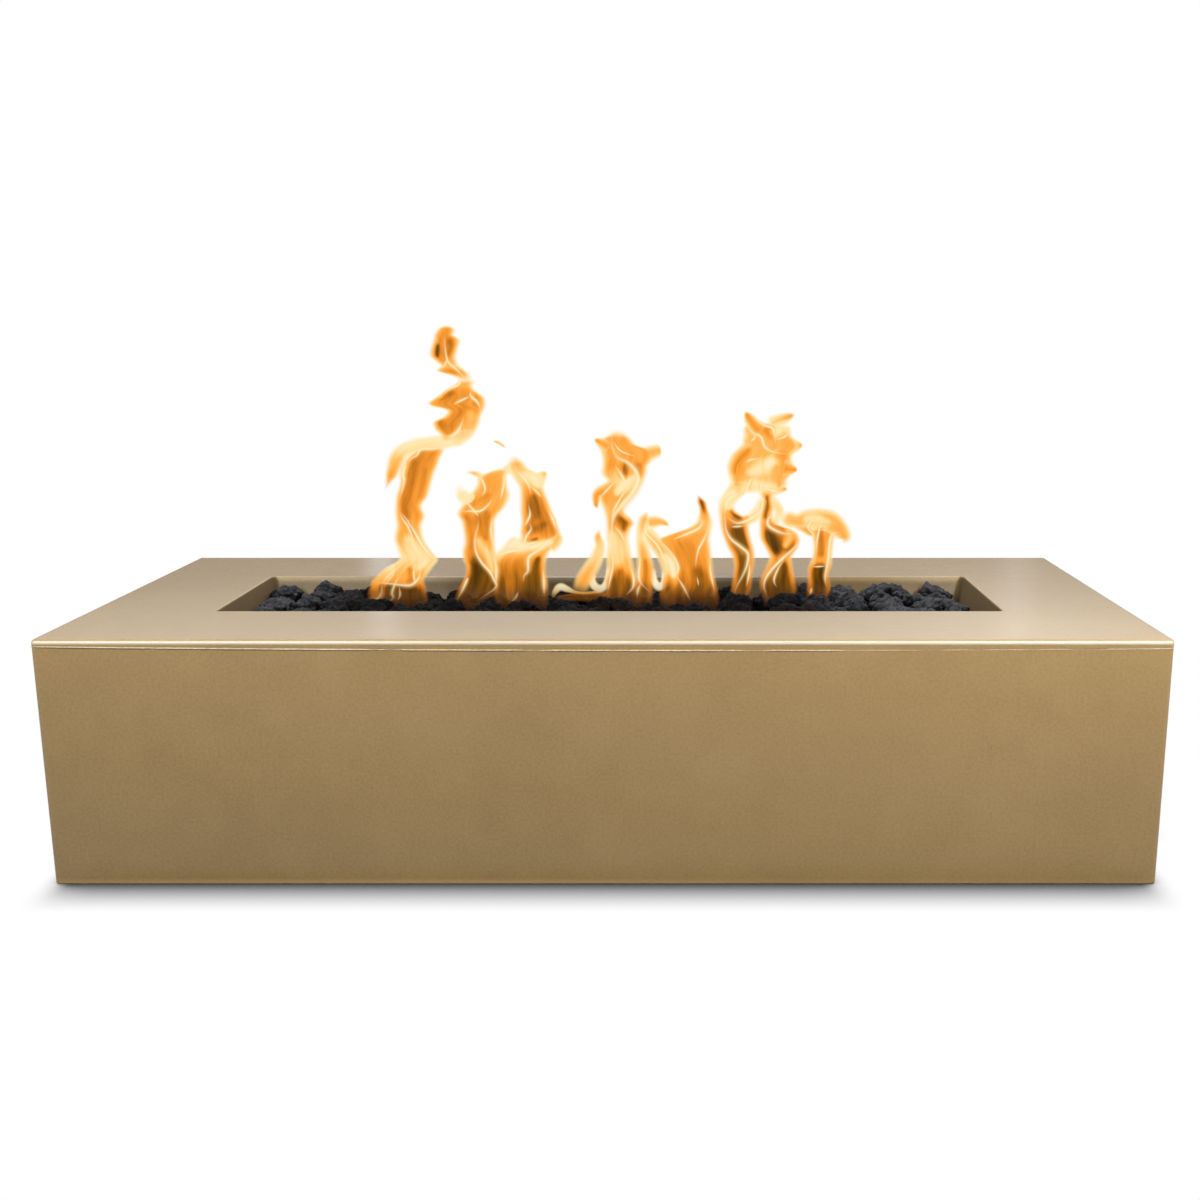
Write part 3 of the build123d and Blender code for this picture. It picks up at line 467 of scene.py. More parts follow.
# %% Finish the shell
PINHOLE_SHADE = (0.12, 0.08, 0.04)
LIGHT_TAN = (0.62, 0.41, 0.16)
HIGHLIGHT_TAN = (0.80, 0.72, 0.58)
THROAT_SHADE = (0.050, 0.036, 0.019)
RAW_CONCRETE = (0.42, 0.34, 0.22)


def cast_concrete(name, stops):
    """Sealed concrete, raw inside, with painted shade in the throat and painted light on its edges, lip,
    foot and corners.
    """
    material, board = new_finish(name)
    place = object_place(board)
    cloud = noise(board, place, 2.4, 5.0, 0.6)
    patch = noise(board, place, 17.0, 5.0, 0.6)
    sand = noise(board, place, 210.0, 3.0, 0.7)
    tone = 0.5 + (cloud - 0.5) * 0.55 + (patch - 0.5) * 0.45 + (sand - 0.5) * 1.3
    pinholes = pits(board, place, 70.0, 0.06, 0.12)
    hollow, throat_shade, edge_highlight, foot_and_corner_light = shell_masks(board, place)
    # Pinholes: their dark colour is painted shade in the pits.
    sealed = tint(board, pinholes * 0.7, ramp(board, tone, stops), PINHOLE_SHADE)
    # Painted light on the foot and the upright corners.
    sealed = tint(board, foot_and_corner_light * 0.55, sealed, LIGHT_TAN)
    # Painted highlight on the upper edges and the lip.
    sealed = tint(board, edge_highlight * 0.75, sealed, HIGHLIGHT_TAN)
    # Painted shade in the throat.
    sealed = tint(board, throat_shade * (0.88 + (cloud - 0.5) * 0.2), sealed, THROAT_SHADE)
    gloss = (0.85 + (patch - 0.5) * 0.3 + (sand - 0.5) * 1.2) * (1 - hollow) * (1 - throat_shade)
    coat(board, {
        "Base Color": tint(board, hollow, sealed, RAW_CONCRETE),
        "Roughness": 0.52 + (patch - 0.5) * 0.25 + (sand - 0.5) * 0.2 + hollow * 0.3 + throat_shade * 0.5,
        "Coat Weight": gloss,
        "Coat Roughness": 0.13,
        "Normal": bump(board, patch * 0.5 + sand * 0.2 - pinholes, 0.12, 0.002),
    })
    return material


TAN = [(0.25, (0.299, 0.187, 0.064)), (0.5, (0.339, 0.215, 0.075)), (0.75, (0.381, 0.247, 0.092))]
concrete = cast_concrete("cast_concrete", TAN)
dress(concrete, "body_shell")
print("shell", [round(v, 3) for v in shell_high - shell_low], "m")

# %% [markdown]
# ## Things that Geometry Nodes grow
#
# The seam, the stones, the hose ribs and the vent screws all repeat or follow a path, so each is a
# small Geometry Nodes tree with named sizes. A few helpers serve them all. They open a tree with its
# inputs, sweep a tube along a path, and run the tree on a carrier. What it makes is kept as a plain
# mesh, because an export drops what is still an instance.

# %% Open and run a tree
def new_tree(name, sizes):
    """A Geometry Nodes tree with one named input per size, and the wires of those inputs."""
    tree = bpy.data.node_groups.new(name, "GeometryNodeTree")
    tree.interface.new_socket("Carrier", in_out="INPUT", socket_type="NodeSocketGeometry")
    for label, value in sizes.items():
        kind = "NodeSocketInt" if isinstance(value, int) else "NodeSocketFloat"
        tree.interface.new_socket(label, in_out="INPUT", socket_type=kind)
    tree.interface.new_socket("Result", in_out="OUTPUT", socket_type="NodeSocketGeometry")
    board = Board(tree)
    group_input = tree.nodes.new("NodeGroupInput")
    return board, {socket.name: Wire(board, socket) for socket in group_input.outputs if socket.name}


def close_tree(board, shape, material):
    """End a tree: instances become real and get one finish."""
    real = board.node("GeometryNodeRealizeInstances", None, {"Geometry": shape})
    done = board.node("GeometryNodeSetMaterial", None, {"Geometry": real, "Material": material})
    board.node("NodeGroupOutput", None, {"Result": done})


def grow(name, tree, carrier_data, sizes):
    """Run a tree on a carrier and keep what it makes as a plain mesh piece."""
    carrier = bpy.data.objects.new(name + "_carrier", carrier_data)
    scene.collection.objects.link(carrier)
    modifier = carrier.modifiers.new("grow", "NODES")
    modifier.node_group = tree
    for item in tree.interface.items_tree:
        if item.in_out == "INPUT" and item.name in sizes:
            modifier[item.identifier] = sizes[item.name]
    depsgraph = bpy.context.evaluated_depsgraph_get()
    grown = carrier.evaluated_get(depsgraph)
    mesh = bpy.data.meshes.new_from_object(grown, preserve_all_data_layers=True, depsgraph=depsgraph)
    bpy.data.objects.remove(carrier)
    mesh.name = name
    piece = bpy.data.objects.new(name, mesh)
    scene.collection.objects.link(piece)
    print(name, len(mesh.polygons), "faces")
    return piece


def place_wire(board):
    """The place of each point in a Geometry Nodes tree."""
    return board.node("GeometryNodeInputPosition")


def vector(board, x=0.0, y=0.0, z=0.0):
    return board.node("ShaderNodeCombineXYZ", None, {0: x, 1: y, 2: z})


def even_path(board, size):
    """The carrier's curve with points at an even spacing."""
    sockets = {"Curve": size["Carrier"], "Length": size["Spacing"]}
    return board.node("GeometryNodeResampleCurve", {"mode": "LENGTH"}, sockets)


def sweep(board, path, sides, radius, capped):
    """A tube along a path. Its radius may change on the way."""
    circle = {"Resolution": sides, "Radius": 1.0}
    ring = board.node("GeometryNodeCurvePrimitiveCircle", {"mode": "RADIUS"}, circle)
    sockets = {"Curve": path, "Profile Curve": ring, "Scale": radius, "Fill Caps": capped}
    return board.node("GeometryNodeCurveToMesh", None, sockets)


# %% [markdown]
# ## The mould seam
#
# Where the mould parted, a thin ragged line of cement runs round the shell just under the deck. It bows
# a little, as the mould did. The shell has the groove, and this bead fills it: a path round the four
# sides, swept with a small circle whose radius wanders and in places almost dies away. Its pale colour
# is partly the cement's own and partly a painted highlight.

# %% Lay the bead along the seam
SEAM_DROP = (0.0105, 0.0165, 0.0135)
SEAM_GROOVE = 0.0012
SEAM_END = shell_high.x + 0.022
CORNER_RADIUS = 0.008
SEAM_SIDES = 6
SEAM_SIZES = {"Spacing": 0.0025, "Bead": 0.0016, "Wander": 0.0004}
# The bead's pale colour is partly cement and partly a painted highlight along it.
PALE_CEMENT_AND_HIGHLIGHT = [(0.25, (0.42, 0.31, 0.17)), (0.5, (0.54, 0.42, 0.26)), (0.75, (0.68, 0.57, 0.40))]


def seam_height(x):
    """Height of the bowed seam above the ground, from its drop at the left, the middle and the right."""
    left, middle, right = SEAM_DROP
    share = x / SEAM_END
    drop = middle + (right - left) / 2 * share + ((right + left) / 2 - middle) * share**2
    return shell_high.z - drop - SEAM_GROOVE / 2


def seam_points(steps_long=24, steps_corner=4):
    """Points round the shell, along its sides and its rounded upright corners."""
    inner_x, inner_y = shell_high.x - CORNER_RADIUS, shell_high.y - CORNER_RADIUS
    corners = [(inner_x, -inner_y), (inner_x, inner_y), (-inner_x, inner_y), (-inner_x, -inner_y)]
    points = []
    for number, (x, y) in enumerate(corners):
        for step in range(steps_corner + 1):
            angle = math.radians(-90 + 90 * (number + step / steps_corner))
            points.append((x + CORNER_RADIUS * math.cos(angle), y + CORNER_RADIUS * math.sin(angle)))
        next_x, next_y = corners[(number + 1) % 4]
        last_x, last_y = points[-1]
        for step in range(1, steps_long):
            share = step / steps_long
            points.append((last_x + (next_x - x) * share, last_y + (next_y - y) * share))
    return [(x, y, seam_height(x)) for x, y in points]


def line_curve(name, points, kind, cyclic=False):
    """A curve object's data with one spline through or near some points."""
    curve = bpy.data.curves.new(name, "CURVE")
    curve.dimensions = "3D"
    spline = curve.splines.new(kind)
    spline.points.add(len(points) - 1)
    for control, point in zip(spline.points, points):
        control.co = (*point, 1)
    spline.use_cyclic_u = cyclic
    return curve


def seam_tree():
    board, size = new_tree("mould_seam", SEAM_SIZES)
    wave = noise(board, place_wire(board), 140.0, 2.0) - 0.5
    lift = vector(board, z=wave * size["Wander"] * 2)
    moved = {"Geometry": even_path(board, size), "Offset": lift}
    path = board.node("GeometryNodeSetPosition", None, moved)
    crumbs = noise(board, place_wire(board), 330.0, 3.0, 0.7)
    breaks = ease(board, noise(board, place_wire(board), 11.0, 3.0), 0.40, 0.46)
    right = ease(board, split(board, place_wire(board)), 0.2, 0.5)
    radius = size["Bead"] * (0.45 + crumbs * 0.8) * (0.45 + breaks * 0.55) * (1 - right * 0.5)
    bead = sweep(board, path, SEAM_SIDES, radius, False)
    close_tree(board, bead, cast_concrete("seam_cement_and_highlight", PALE_CEMENT_AND_HIGHLIGHT))
    return board.tree


seam = grow("mould_seam", seam_tree(), line_curve("seam", seam_points(), "POLY", True), SEAM_SIZES)
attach(seam, "pit")

# %% [markdown]
# ## Lava stones
#
# The bed is topped with charcoal stones of four to seven centimetres, full of pores. Modelling each by
# hand is no use, and copies of one stone look like copies. So a jittered grid of points carries round
# blanks, each turned and sized at random, and then one noise field in the space of the whole bed pushes
# them all out of shape. No two blanks sit in the same spot of that field, so no two stones are alike. A
# second run with more and smaller blanks fills the gaps with chips. Pale dust lies on what faces up and
# also stands in for light from above, shade is painted into the crevices and pores, and the stones by the
# fire are charred, with a rusty tint that is partly painted glow of the fire.

# %% Finish of lava rock
ROCK = [(0.38, (0.0015, 0.0015, 0.0017)), (0.5, (0.004, 0.004, 0.0046)),
        (0.60, (0.014, 0.0145, 0.017)), (0.70, (0.050, 0.051, 0.058))]
DUST_AND_TOP_LIGHT = (0.076, 0.074, 0.079)
CHAR = (0.0018, 0.0012, 0.001)
RUST_AND_FIRE_GLOW = (0.010, 0.0048, 0.003)
CREVICE_SHADE = (0.0012, 0.001, 0.001)
PORE_SHADE = (0.002, 0.002, 0.002)
FIRE_MIDDLE = -0.07
FIRE_EDGE = (0.34, 0.52)


def lava_rock():
    """Charcoal rock with grit and painted shade in its pores and crevices, dust and painted light on top,
    charred by the fire, with rust that is partly painted glow of the fire.
    """
    material, board = new_finish("lava_rock")
    place = object_place(board)
    lump = noise(board, place, 42.0, 3.0, 0.6)
    crag = noise(board, place, 150.0, 3.0, 0.65)
    grit = noise(board, place, 480.0, 3.0, 0.7)
    pores = pits(board, place, 170.0, 0.42, 0.5)
    tone = lump * 0.35 + crag * 0.45 + grit * 0.2
    upward = split(board, board.node("ShaderNodeNewGeometry", out="Normal")).other("Z")
    # Dust on upward faces, which also stands in for light from above.
    dust_and_top_light = ease(board, upward + (crag - 0.5) * 1.2, 0.25, 0.95)
    middle = 1 - ease(board, abs(split(board, place) - FIRE_MIDDLE), *FIRE_EDGE)
    # Rust, and by the fire a stronger rusty tint that is partly painted glow of the fire.
    rust_and_fire_glow = ease(board, noise(board, place, 13.0, 2.0), 0.40, 0.70) * (0.2 + middle * 0.75)
    rock = tint(board, dust_and_top_light * (1 - middle * 0.95) * 0.6, ramp(board, tone, ROCK), DUST_AND_TOP_LIGHT)
    rock = tint(board, middle * 0.85, rock, CHAR)
    rock = tint(board, rust_and_fire_glow, rock, RUST_AND_FIRE_GLOW)
    # Painted shade in the crevices between stones, from ambient occlusion.
    open_sky = board.node("ShaderNodeAmbientOcclusion", {"samples": 6}, {"Distance": 0.03}, out="AO")
    crevice_shade = 1 - ease(board, open_sky, 0.25, 0.95)
    rock = tint(board, crevice_shade * 0.9, rock, CREVICE_SHADE)
    coat(board, {
        # Painted shade darkens the pores.
        "Base Color": tint(board, pores * 0.8, rock, PORE_SHADE),
        "Roughness": 0.48 + (grit - 0.5) * 0.5 + middle * 0.3,
        "Specular IOR Level": 0.12,
        "Normal": bump(board, lump * 0.4 + crag * 0.8 + grit * 0.2 - pores * 0.5, 1.0, 0.006),
    })
    return material


lava = lava_rock()
dress(lava, "lava_bed")
print("lava rock from", len(lava.node_tree.nodes), "nodes")

# %% A tree that heaps unlike stones
bed_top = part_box("lava_bed")[1].z
STONE_SIZES = {
    "Columns": 20, "Rows": 3, "Faces": 4, "Pitch along": 0.0645, "Pitch across": 0.050, "Jitter": 0.020,
    "Smallest": 0.020, "Largest": 0.037, "Left heap": 0.010, "Right heap": 0.010, "Lumps": 0.036,
    "Crags": 0.028, "Seed": 5}
CHIP_SIZES = {
    "Columns": 60, "Rows": 7, "Faces": 2, "Pitch along": 0.0213, "Pitch across": 0.0205, "Jitter": 0.010,
    "Smallest": 0.007, "Largest": 0.014, "Left heap": 0.004, "Right heap": 0.004, "Lumps": 0.012,
    "Crags": 0.005}
RIGHT_HEAP_START = (0.16, 0.30)
LEFT_HEAP_START = (-0.32, -0.50)
RIGHT_BRINK = (0.55, 0.63)
LEFT_BRINK = (-0.60, -0.65)


def random_between(board, low, high, seed):
    """A random number for each point."""
    sockets = {2: low, 3: high, "Seed": seed}
    return board.node("FunctionNodeRandomValue", {"data_type": "FLOAT"}, sockets, out=1)


def stone_points(board, size):
    """A grid of points, jittered, heaped up beside the fire and lower again at the brink of the bed."""
    sockets = {"Size X": size["Pitch along"] * (size["Columns"] - 1), "Vertices X": size["Columns"],
               "Size Y": size["Pitch across"] * (size["Rows"] - 1), "Vertices Y": size["Rows"]}
    grid = board.node("GeometryNodeMeshGrid", None, sockets)
    points = board.node("GeometryNodeMeshToPoints", None, {"Mesh": grid})
    slide = random_between(board, -1.0, 1.0, size["Seed"]) * size["Jitter"]
    shift = random_between(board, -1.0, 1.0, size["Seed"] + 1) * size["Jitter"] * 0.5
    along = split(board, place_wire(board))
    right_heap = ease(board, along, *RIGHT_HEAP_START) * size["Right heap"]
    heaps = right_heap + ease(board, along, *LEFT_HEAP_START) * size["Left heap"]
    brink = ease(board, along, *RIGHT_BRINK) * -0.012 + ease(board, along, *LEFT_BRINK) * -0.008
    rise = random_between(board, -0.005, 0.005, size["Seed"] + 2) + heaps + brink
    moved = {"Geometry": points, "Offset": vector(board, slide, shift, rise)}
    return board.node("GeometryNodeSetPosition", None, moved)


def push_out(board, stones, size):
    """Push the skins of the stones in and out along their normals by noise in the bed's space."""
    place = place_wire(board)
    lumps = (noise(board, place, 27.0, 2.0) - 0.5) * size["Lumps"]
    crags = (noise(board, place, 85.0, 4.0, 0.7) - 0.5) * size["Crags"]
    normal = board.node("GeometryNodeInputNormal")
    sockets = {0: normal, "Scale": lumps + crags}
    offset = board.node("ShaderNodeVectorMath", {"operation": "SCALE"}, sockets)
    return board.node("GeometryNodeSetPosition", None, {"Geometry": stones, "Offset": offset})


def stone_tree():
    board, size = new_tree("lava_heap", STONE_SIZES)
    blank = board.node("GeometryNodeMeshIcoSphere", None, {"Radius": 1.0, "Subdivisions": size["Faces"]})
    smallest, largest = size["Smallest"], size["Largest"]
    girths = [random_between(board, smallest, largest, size["Seed"] + 3 + n) for n in range(2)]
    height = random_between(board, smallest * 0.8, largest * 0.65, size["Seed"] + 5)
    turn = random_between(board, 0.0, 2 * math.pi, size["Seed"] + 6)
    tips = [random_between(board, -0.5, 0.5, size["Seed"] + 7 + n) for n in range(2)]
    sockets = {"Points": stone_points(board, size), "Instance": blank,
               "Rotation": vector(board, *tips, turn), "Scale": vector(board, *girths, height)}
    stones = board.node("GeometryNodeInstanceOnPoints", None, sockets)
    stones = board.node("GeometryNodeRealizeInstances", None, {"Geometry": stones})
    smooth = board.node("GeometryNodeSetShadeSmooth", None, {"Geometry": push_out(board, stones, size)})
    close_tree(board, smooth, lava)
    return board.tree


# %% Heap stones and chips in front of the flames and behind them
from mathutils import Matrix

ROW_MIDDLE = 0.074
CHIP_DROP = 0.008
CHIP_SEEDS = 50
HEAPS = {"front": (-1, 0.017, 5), "back": (1, 0.010, 31)}

heap_tree = stone_tree()


def heap(name, sizes, seed):
    """Stones or chips of these sizes, grown on an empty carrier."""
    return grow(name, heap_tree, bpy.data.meshes.new("carrier"), sizes | {"Seed": seed})


for side_name, (direction, lift, seed) in HEAPS.items():
    stones = heap("lava_heap_" + side_name, STONE_SIZES, seed)
    chips = heap("lava_chips_" + side_name, CHIP_SIZES, seed + CHIP_SEEDS)
    for piece, height in ((stones, lift), (chips, lift - CHIP_DROP)):
        piece.data.transform(Matrix.Translation((0, direction * ROW_MIDDLE, bed_top + height)))
        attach(piece, "pit")
    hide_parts("lava_stones_" + side_name)
    tops = [v.co.z for v in stones.data.vertices]
    print("stones up to", round(max(tops), 3), "m, deck at", round(shell_high.z, 3), "m")

# %% [markdown]
# ## Metals and seat plastic
#
# Under the deck everything is metal: a brushed stainless pan, burner and vents, a brass valve,
# zinc-plated nuts, black iron nipples and a chromed key with its collar. One function mixes them all.
# Brushing is noise stretched along one axis, handling leaves broad smudges in the gloss, and a slower
# noise tints the colour a little.


# %% One function for every metal
def metal(name, colour, roughness, brushing=(1, 1, 1), depth=0.05, metallic=1.0):
    """A metal finish: its colour, its gloss, and the stretch of its brush marks."""
    material, board = new_finish(name)
    place = object_place(board)
    marks = noise(board, stretch(board, place, brushing), 900.0, 2.0, 0.6)
    smudge = noise(board, place, 38.0, 4.0, 0.6)
    tarnish = noise(board, place, 14.0, 4.0, 0.65)
    darker = tuple(share * 0.72 for share in colour)
    coat(board, {
        "Base Color": tint(board, ease(board, tarnish * 0.7 + marks * 0.3, 0.35, 0.7), darker, colour),
        "Metallic": metallic,
        "Roughness": roughness + (smudge - 0.5) * 0.22 + (marks - 0.5) * 0.2,
        "Normal": bump(board, marks, depth, 0.0006),
    })
    return material


stainless = metal("stainless_steel", (0.60, 0.59, 0.57), 0.30, (0.02, 1, 1), 0.12)
vent_steel = metal("vent_steel", (0.60, 0.59, 0.57), 0.32, (1, 0.02, 1), 0.12)
brass = metal("brass", (0.72, 0.47, 0.17), 0.30)
chrome = metal("chrome", (0.76, 0.77, 0.79), 0.10, depth=0.02)
zinc = metal("zinc_hardware", (0.58, 0.60, 0.62), 0.38)
black_pipe = metal("black_pipe", (0.045, 0.044, 0.046), 0.50, depth=0.25, metallic=0.4)
hose_steel = metal("corrugated_steel", (0.62, 0.62, 0.61), 0.26)
seat_plastic = metal("seat_plastic", (0.74, 0.73, 0.69), 0.42, depth=0.06, metallic=0.0)

# %% Give each node its metal
dress(stainless, "fire_pan", "burner_hub", "burner_tube_left", "burner_tube_right", "burner_cap_left",
      "burner_cap_right", "burner_saddle_left", "burner_saddle_right")
dress(vent_steel, "vent_left", "vent_right")
dress(brass, "burner_elbow", "hose_nut_burner", "hose_nut_valve", "valve_elbow", "valve_body",
      "valve_bonnet", "valve_inlet", "valve_stem")
dress(zinc, "pan_locknut_top", "pan_locknut_bottom", "saddle_screws", "saddle_nuts", "valve_sleeve",
      "sleeve_locknut")
dress(black_pipe, "pan_nipple", "valve_nipple")
dress(chrome, "escutcheon", "gas_key", "valve_ball")
dress(seat_plastic, "valve_seats")
print("finishes:", sorted(material.name for material in bpy.data.materials))

# %% [markdown]
# ## Vent screws
#
# Each vent plate is held by four button-head screws with a hexagon socket. One screw is turned in mesh
# code: rings of points round its axis, of which the socket's rings are pulled to a hexagon. A tree then
# sets it at each corner of the two plates, turned to face outwards.

# %% Turn one screw
SCREW_STEPS = 24
SCREW_HEAD = 0.0042
SCREW_SHANK = 0.0021
SCREW_HEIGHT = 0.0026
SCREW_LENGTH = 0.018
SOCKET_FLATS = 0.0025
SOCKET_DEPTH = 0.0016
DOME_ANGLES = (0.5, 0.8, 1.1, 1.35, 1.57)


def hexagon(angle, flats):
    """Distance from the axis to a hexagon's side at this angle."""
    return flats / 2 / math.cos((angle % (math.pi / 3)) - math.pi / 6)


def screw_rings():
    """The outline from the socket's rim over the head to the shank's tip, as (radius, height along X)."""
    dome = [(SCREW_HEAD * math.sin(a), SCREW_HEIGHT * (0.35 + 0.65 * math.cos(a))) for a in DOME_ANGLES]
    return dome + [(SCREW_HEAD, 0.0), (SCREW_SHANK, 0.0), (SCREW_SHANK, -SCREW_LENGTH)]


def turned_screw():
    angles = [2 * math.pi * step / SCREW_STEPS for step in range(SCREW_STEPS)]
    rings = [[(hexagon(a, SOCKET_FLATS), a, SCREW_HEIGHT - SOCKET_DEPTH) for a in angles],
             [(hexagon(a, SOCKET_FLATS), a, SCREW_HEIGHT * 0.97) for a in angles]]
    rings += [[(radius, a, height) for a in angles] for radius, height in screw_rings()]
    points = []
    for ring in rings:
        points += [(height, radius * math.cos(a), radius * math.sin(a)) for radius, a, height in ring]
    faces = [tuple(range(SCREW_STEPS))]
    for ring in range(len(rings) - 1):
        for step in range(SCREW_STEPS):
            a, b = ring * SCREW_STEPS + step, ring * SCREW_STEPS + (step + 1) % SCREW_STEPS
            faces.append((a, a + SCREW_STEPS, b + SCREW_STEPS, b))
    faces.append(tuple(reversed(range(len(points) - SCREW_STEPS, len(points)))))
    mesh = bpy.data.meshes.new("vent_screw")
    mesh.from_pydata(points, [], faces)
    return mesh


# %% Set a screw at each corner of the vent plates
SCREW_SIZES = {"Turn": 0.4, "Seed": 3}
VENT_LAP = 0.018


def screw_carrier():
    """A loose point at each screw's seat."""
    points = []
    for name in ("vent_left", "vent_right"):
        low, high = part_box(name)
        seat = low.x if low.x < 0 else high.x
        for y in (low.y + VENT_LAP / 2, high.y - VENT_LAP / 2):
            points += [(seat, y, z) for z in (low.z + VENT_LAP / 2, high.z - VENT_LAP / 2)]
    mesh = bpy.data.meshes.new("screw_seats")
    mesh.from_pydata(points, [], [])
    return mesh


def screw_tree(pattern):
    board, size = new_tree("vent_screws", SCREW_SIZES)
    faces_left = board.maths("LESS_THAN", split(board, place_wire(board)), 0.0)
    turn = random_between(board, 0.0, size["Turn"], size["Seed"])
    screw = board.node("GeometryNodeObjectInfo", None, {"Object": pattern}, out="Geometry")
    seats = board.node("GeometryNodeMeshToPoints", None, {"Mesh": size["Carrier"]})
    turned = vector(board, x=turn, z=faces_left * math.pi)
    sockets = {"Points": seats, "Instance": screw, "Rotation": turned}
    close_tree(board, board.node("GeometryNodeInstanceOnPoints", None, sockets), stainless)
    return board.tree


pattern = bpy.data.objects.new("vent_screw", turned_screw())
scene.collection.objects.link(pattern)
screws = grow("vent_socket_screws", screw_tree(pattern), screw_carrier(), SCREW_SIZES)
bpy.data.objects.remove(pattern)
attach(screws, "pit")
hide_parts("vent_screws")

# %% [markdown]
# ## The gas hose
#
# A corrugated steel hose carries the gas from the valve to the burner. Its line is a NURBS spline with
# the same route points as the model's hose. The ribs follow a rule, so a tree sweeps a circle along the
# line and lets its radius rise and fall with the length travelled.

# %% Sweep a ribbed hose
HOSE_ROUTE = [(0.038, 0, 0.2194), (0.178, 0, 0.2194), (0.3296, 0.069, 0.2194),
              (0.4754, 0.1656, 0.2194), (0.627, 0.230, 0.2194), (0.767, 0.230, 0.2194)]
HOSE_SIZES = {"Spacing": 0.00075, "Radius": 0.0087, "Rib": 0.0008, "Pitch": 0.006, "Sides": 20}


def hose_tree():
    board, size = new_tree("gas_hose", HOSE_SIZES)
    travelled = board.node("GeometryNodeSplineParameter", out="Length")
    wave = board.maths("SINE", travelled * (2 * math.pi) / size["Pitch"])
    radius = size["Radius"] + wave * size["Rib"]
    tube = sweep(board, even_path(board, size), size["Sides"], radius, True)
    smooth = board.node("GeometryNodeSetShadeSmooth", None, {"Geometry": tube})
    close_tree(board, smooth, hose_steel)
    return board.tree


hose_line = line_curve("gas_hose", HOSE_ROUTE, "NURBS")
hose_line.splines[0].order_u = 3
hose_line.splines[0].use_endpoint_u = True
hose_line.resolution_u = 24
hose = grow("ribbed_gas_hose", hose_tree(), hose_line, HOSE_SIZES)
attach(hose, "pit")
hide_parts("gas_hose")

# %% [markdown]
# ## Flames
#
# Ten tongues of burning gas stand on the burner: thin sheets that fold over themselves, orange inside,
# paler towards their rims, dark amber low down. A smoke simulation would give other flames on each run
# and no mesh. So the tongues are drawn in pixels of the photograph, the broad ones as ladders of rungs
# from foot to tip, the narrow ones as strokes along their middle. The camera's own geometry then lays
# them on the plane of the burner.
#
# Each ladder or stroke becomes a closed sheet with a lens-shaped section. Its points carry attributes:
# how far across and along the sheet they lie, how wide it is there, and how hot they glow. A sheet that
# is seen edge on shows as a bright line, and narrow sheets just before and behind the tongues draw
# those folds.

# %% Lay pixels of the photograph on the burner
import numpy as np

EYE = np.array(camera.matrix_world.translation)
EYE_TURN = np.array(camera.matrix_world.to_3x3())


def on_burner(columns, rows, depths):
    """Where the rays through these pixels meet upright planes at these depths behind the burner's line."""
    across = (columns - PRINCIPAL_COLUMN) / FOCAL_PIXELS
    up = (PRINCIPAL_ROW - rows) / FOCAL_PIXELS
    rays = np.stack([across, up, -np.ones_like(across)], axis=-1) @ EYE_TURN.T
    return EYE + rays * ((depths - EYE[1]) / rays[..., 1])[..., None]


burner_low, burner_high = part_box("burner_tube_right")
print("burner's line at y", round((burner_low.y + burner_high.y) / 2, 4), "m")

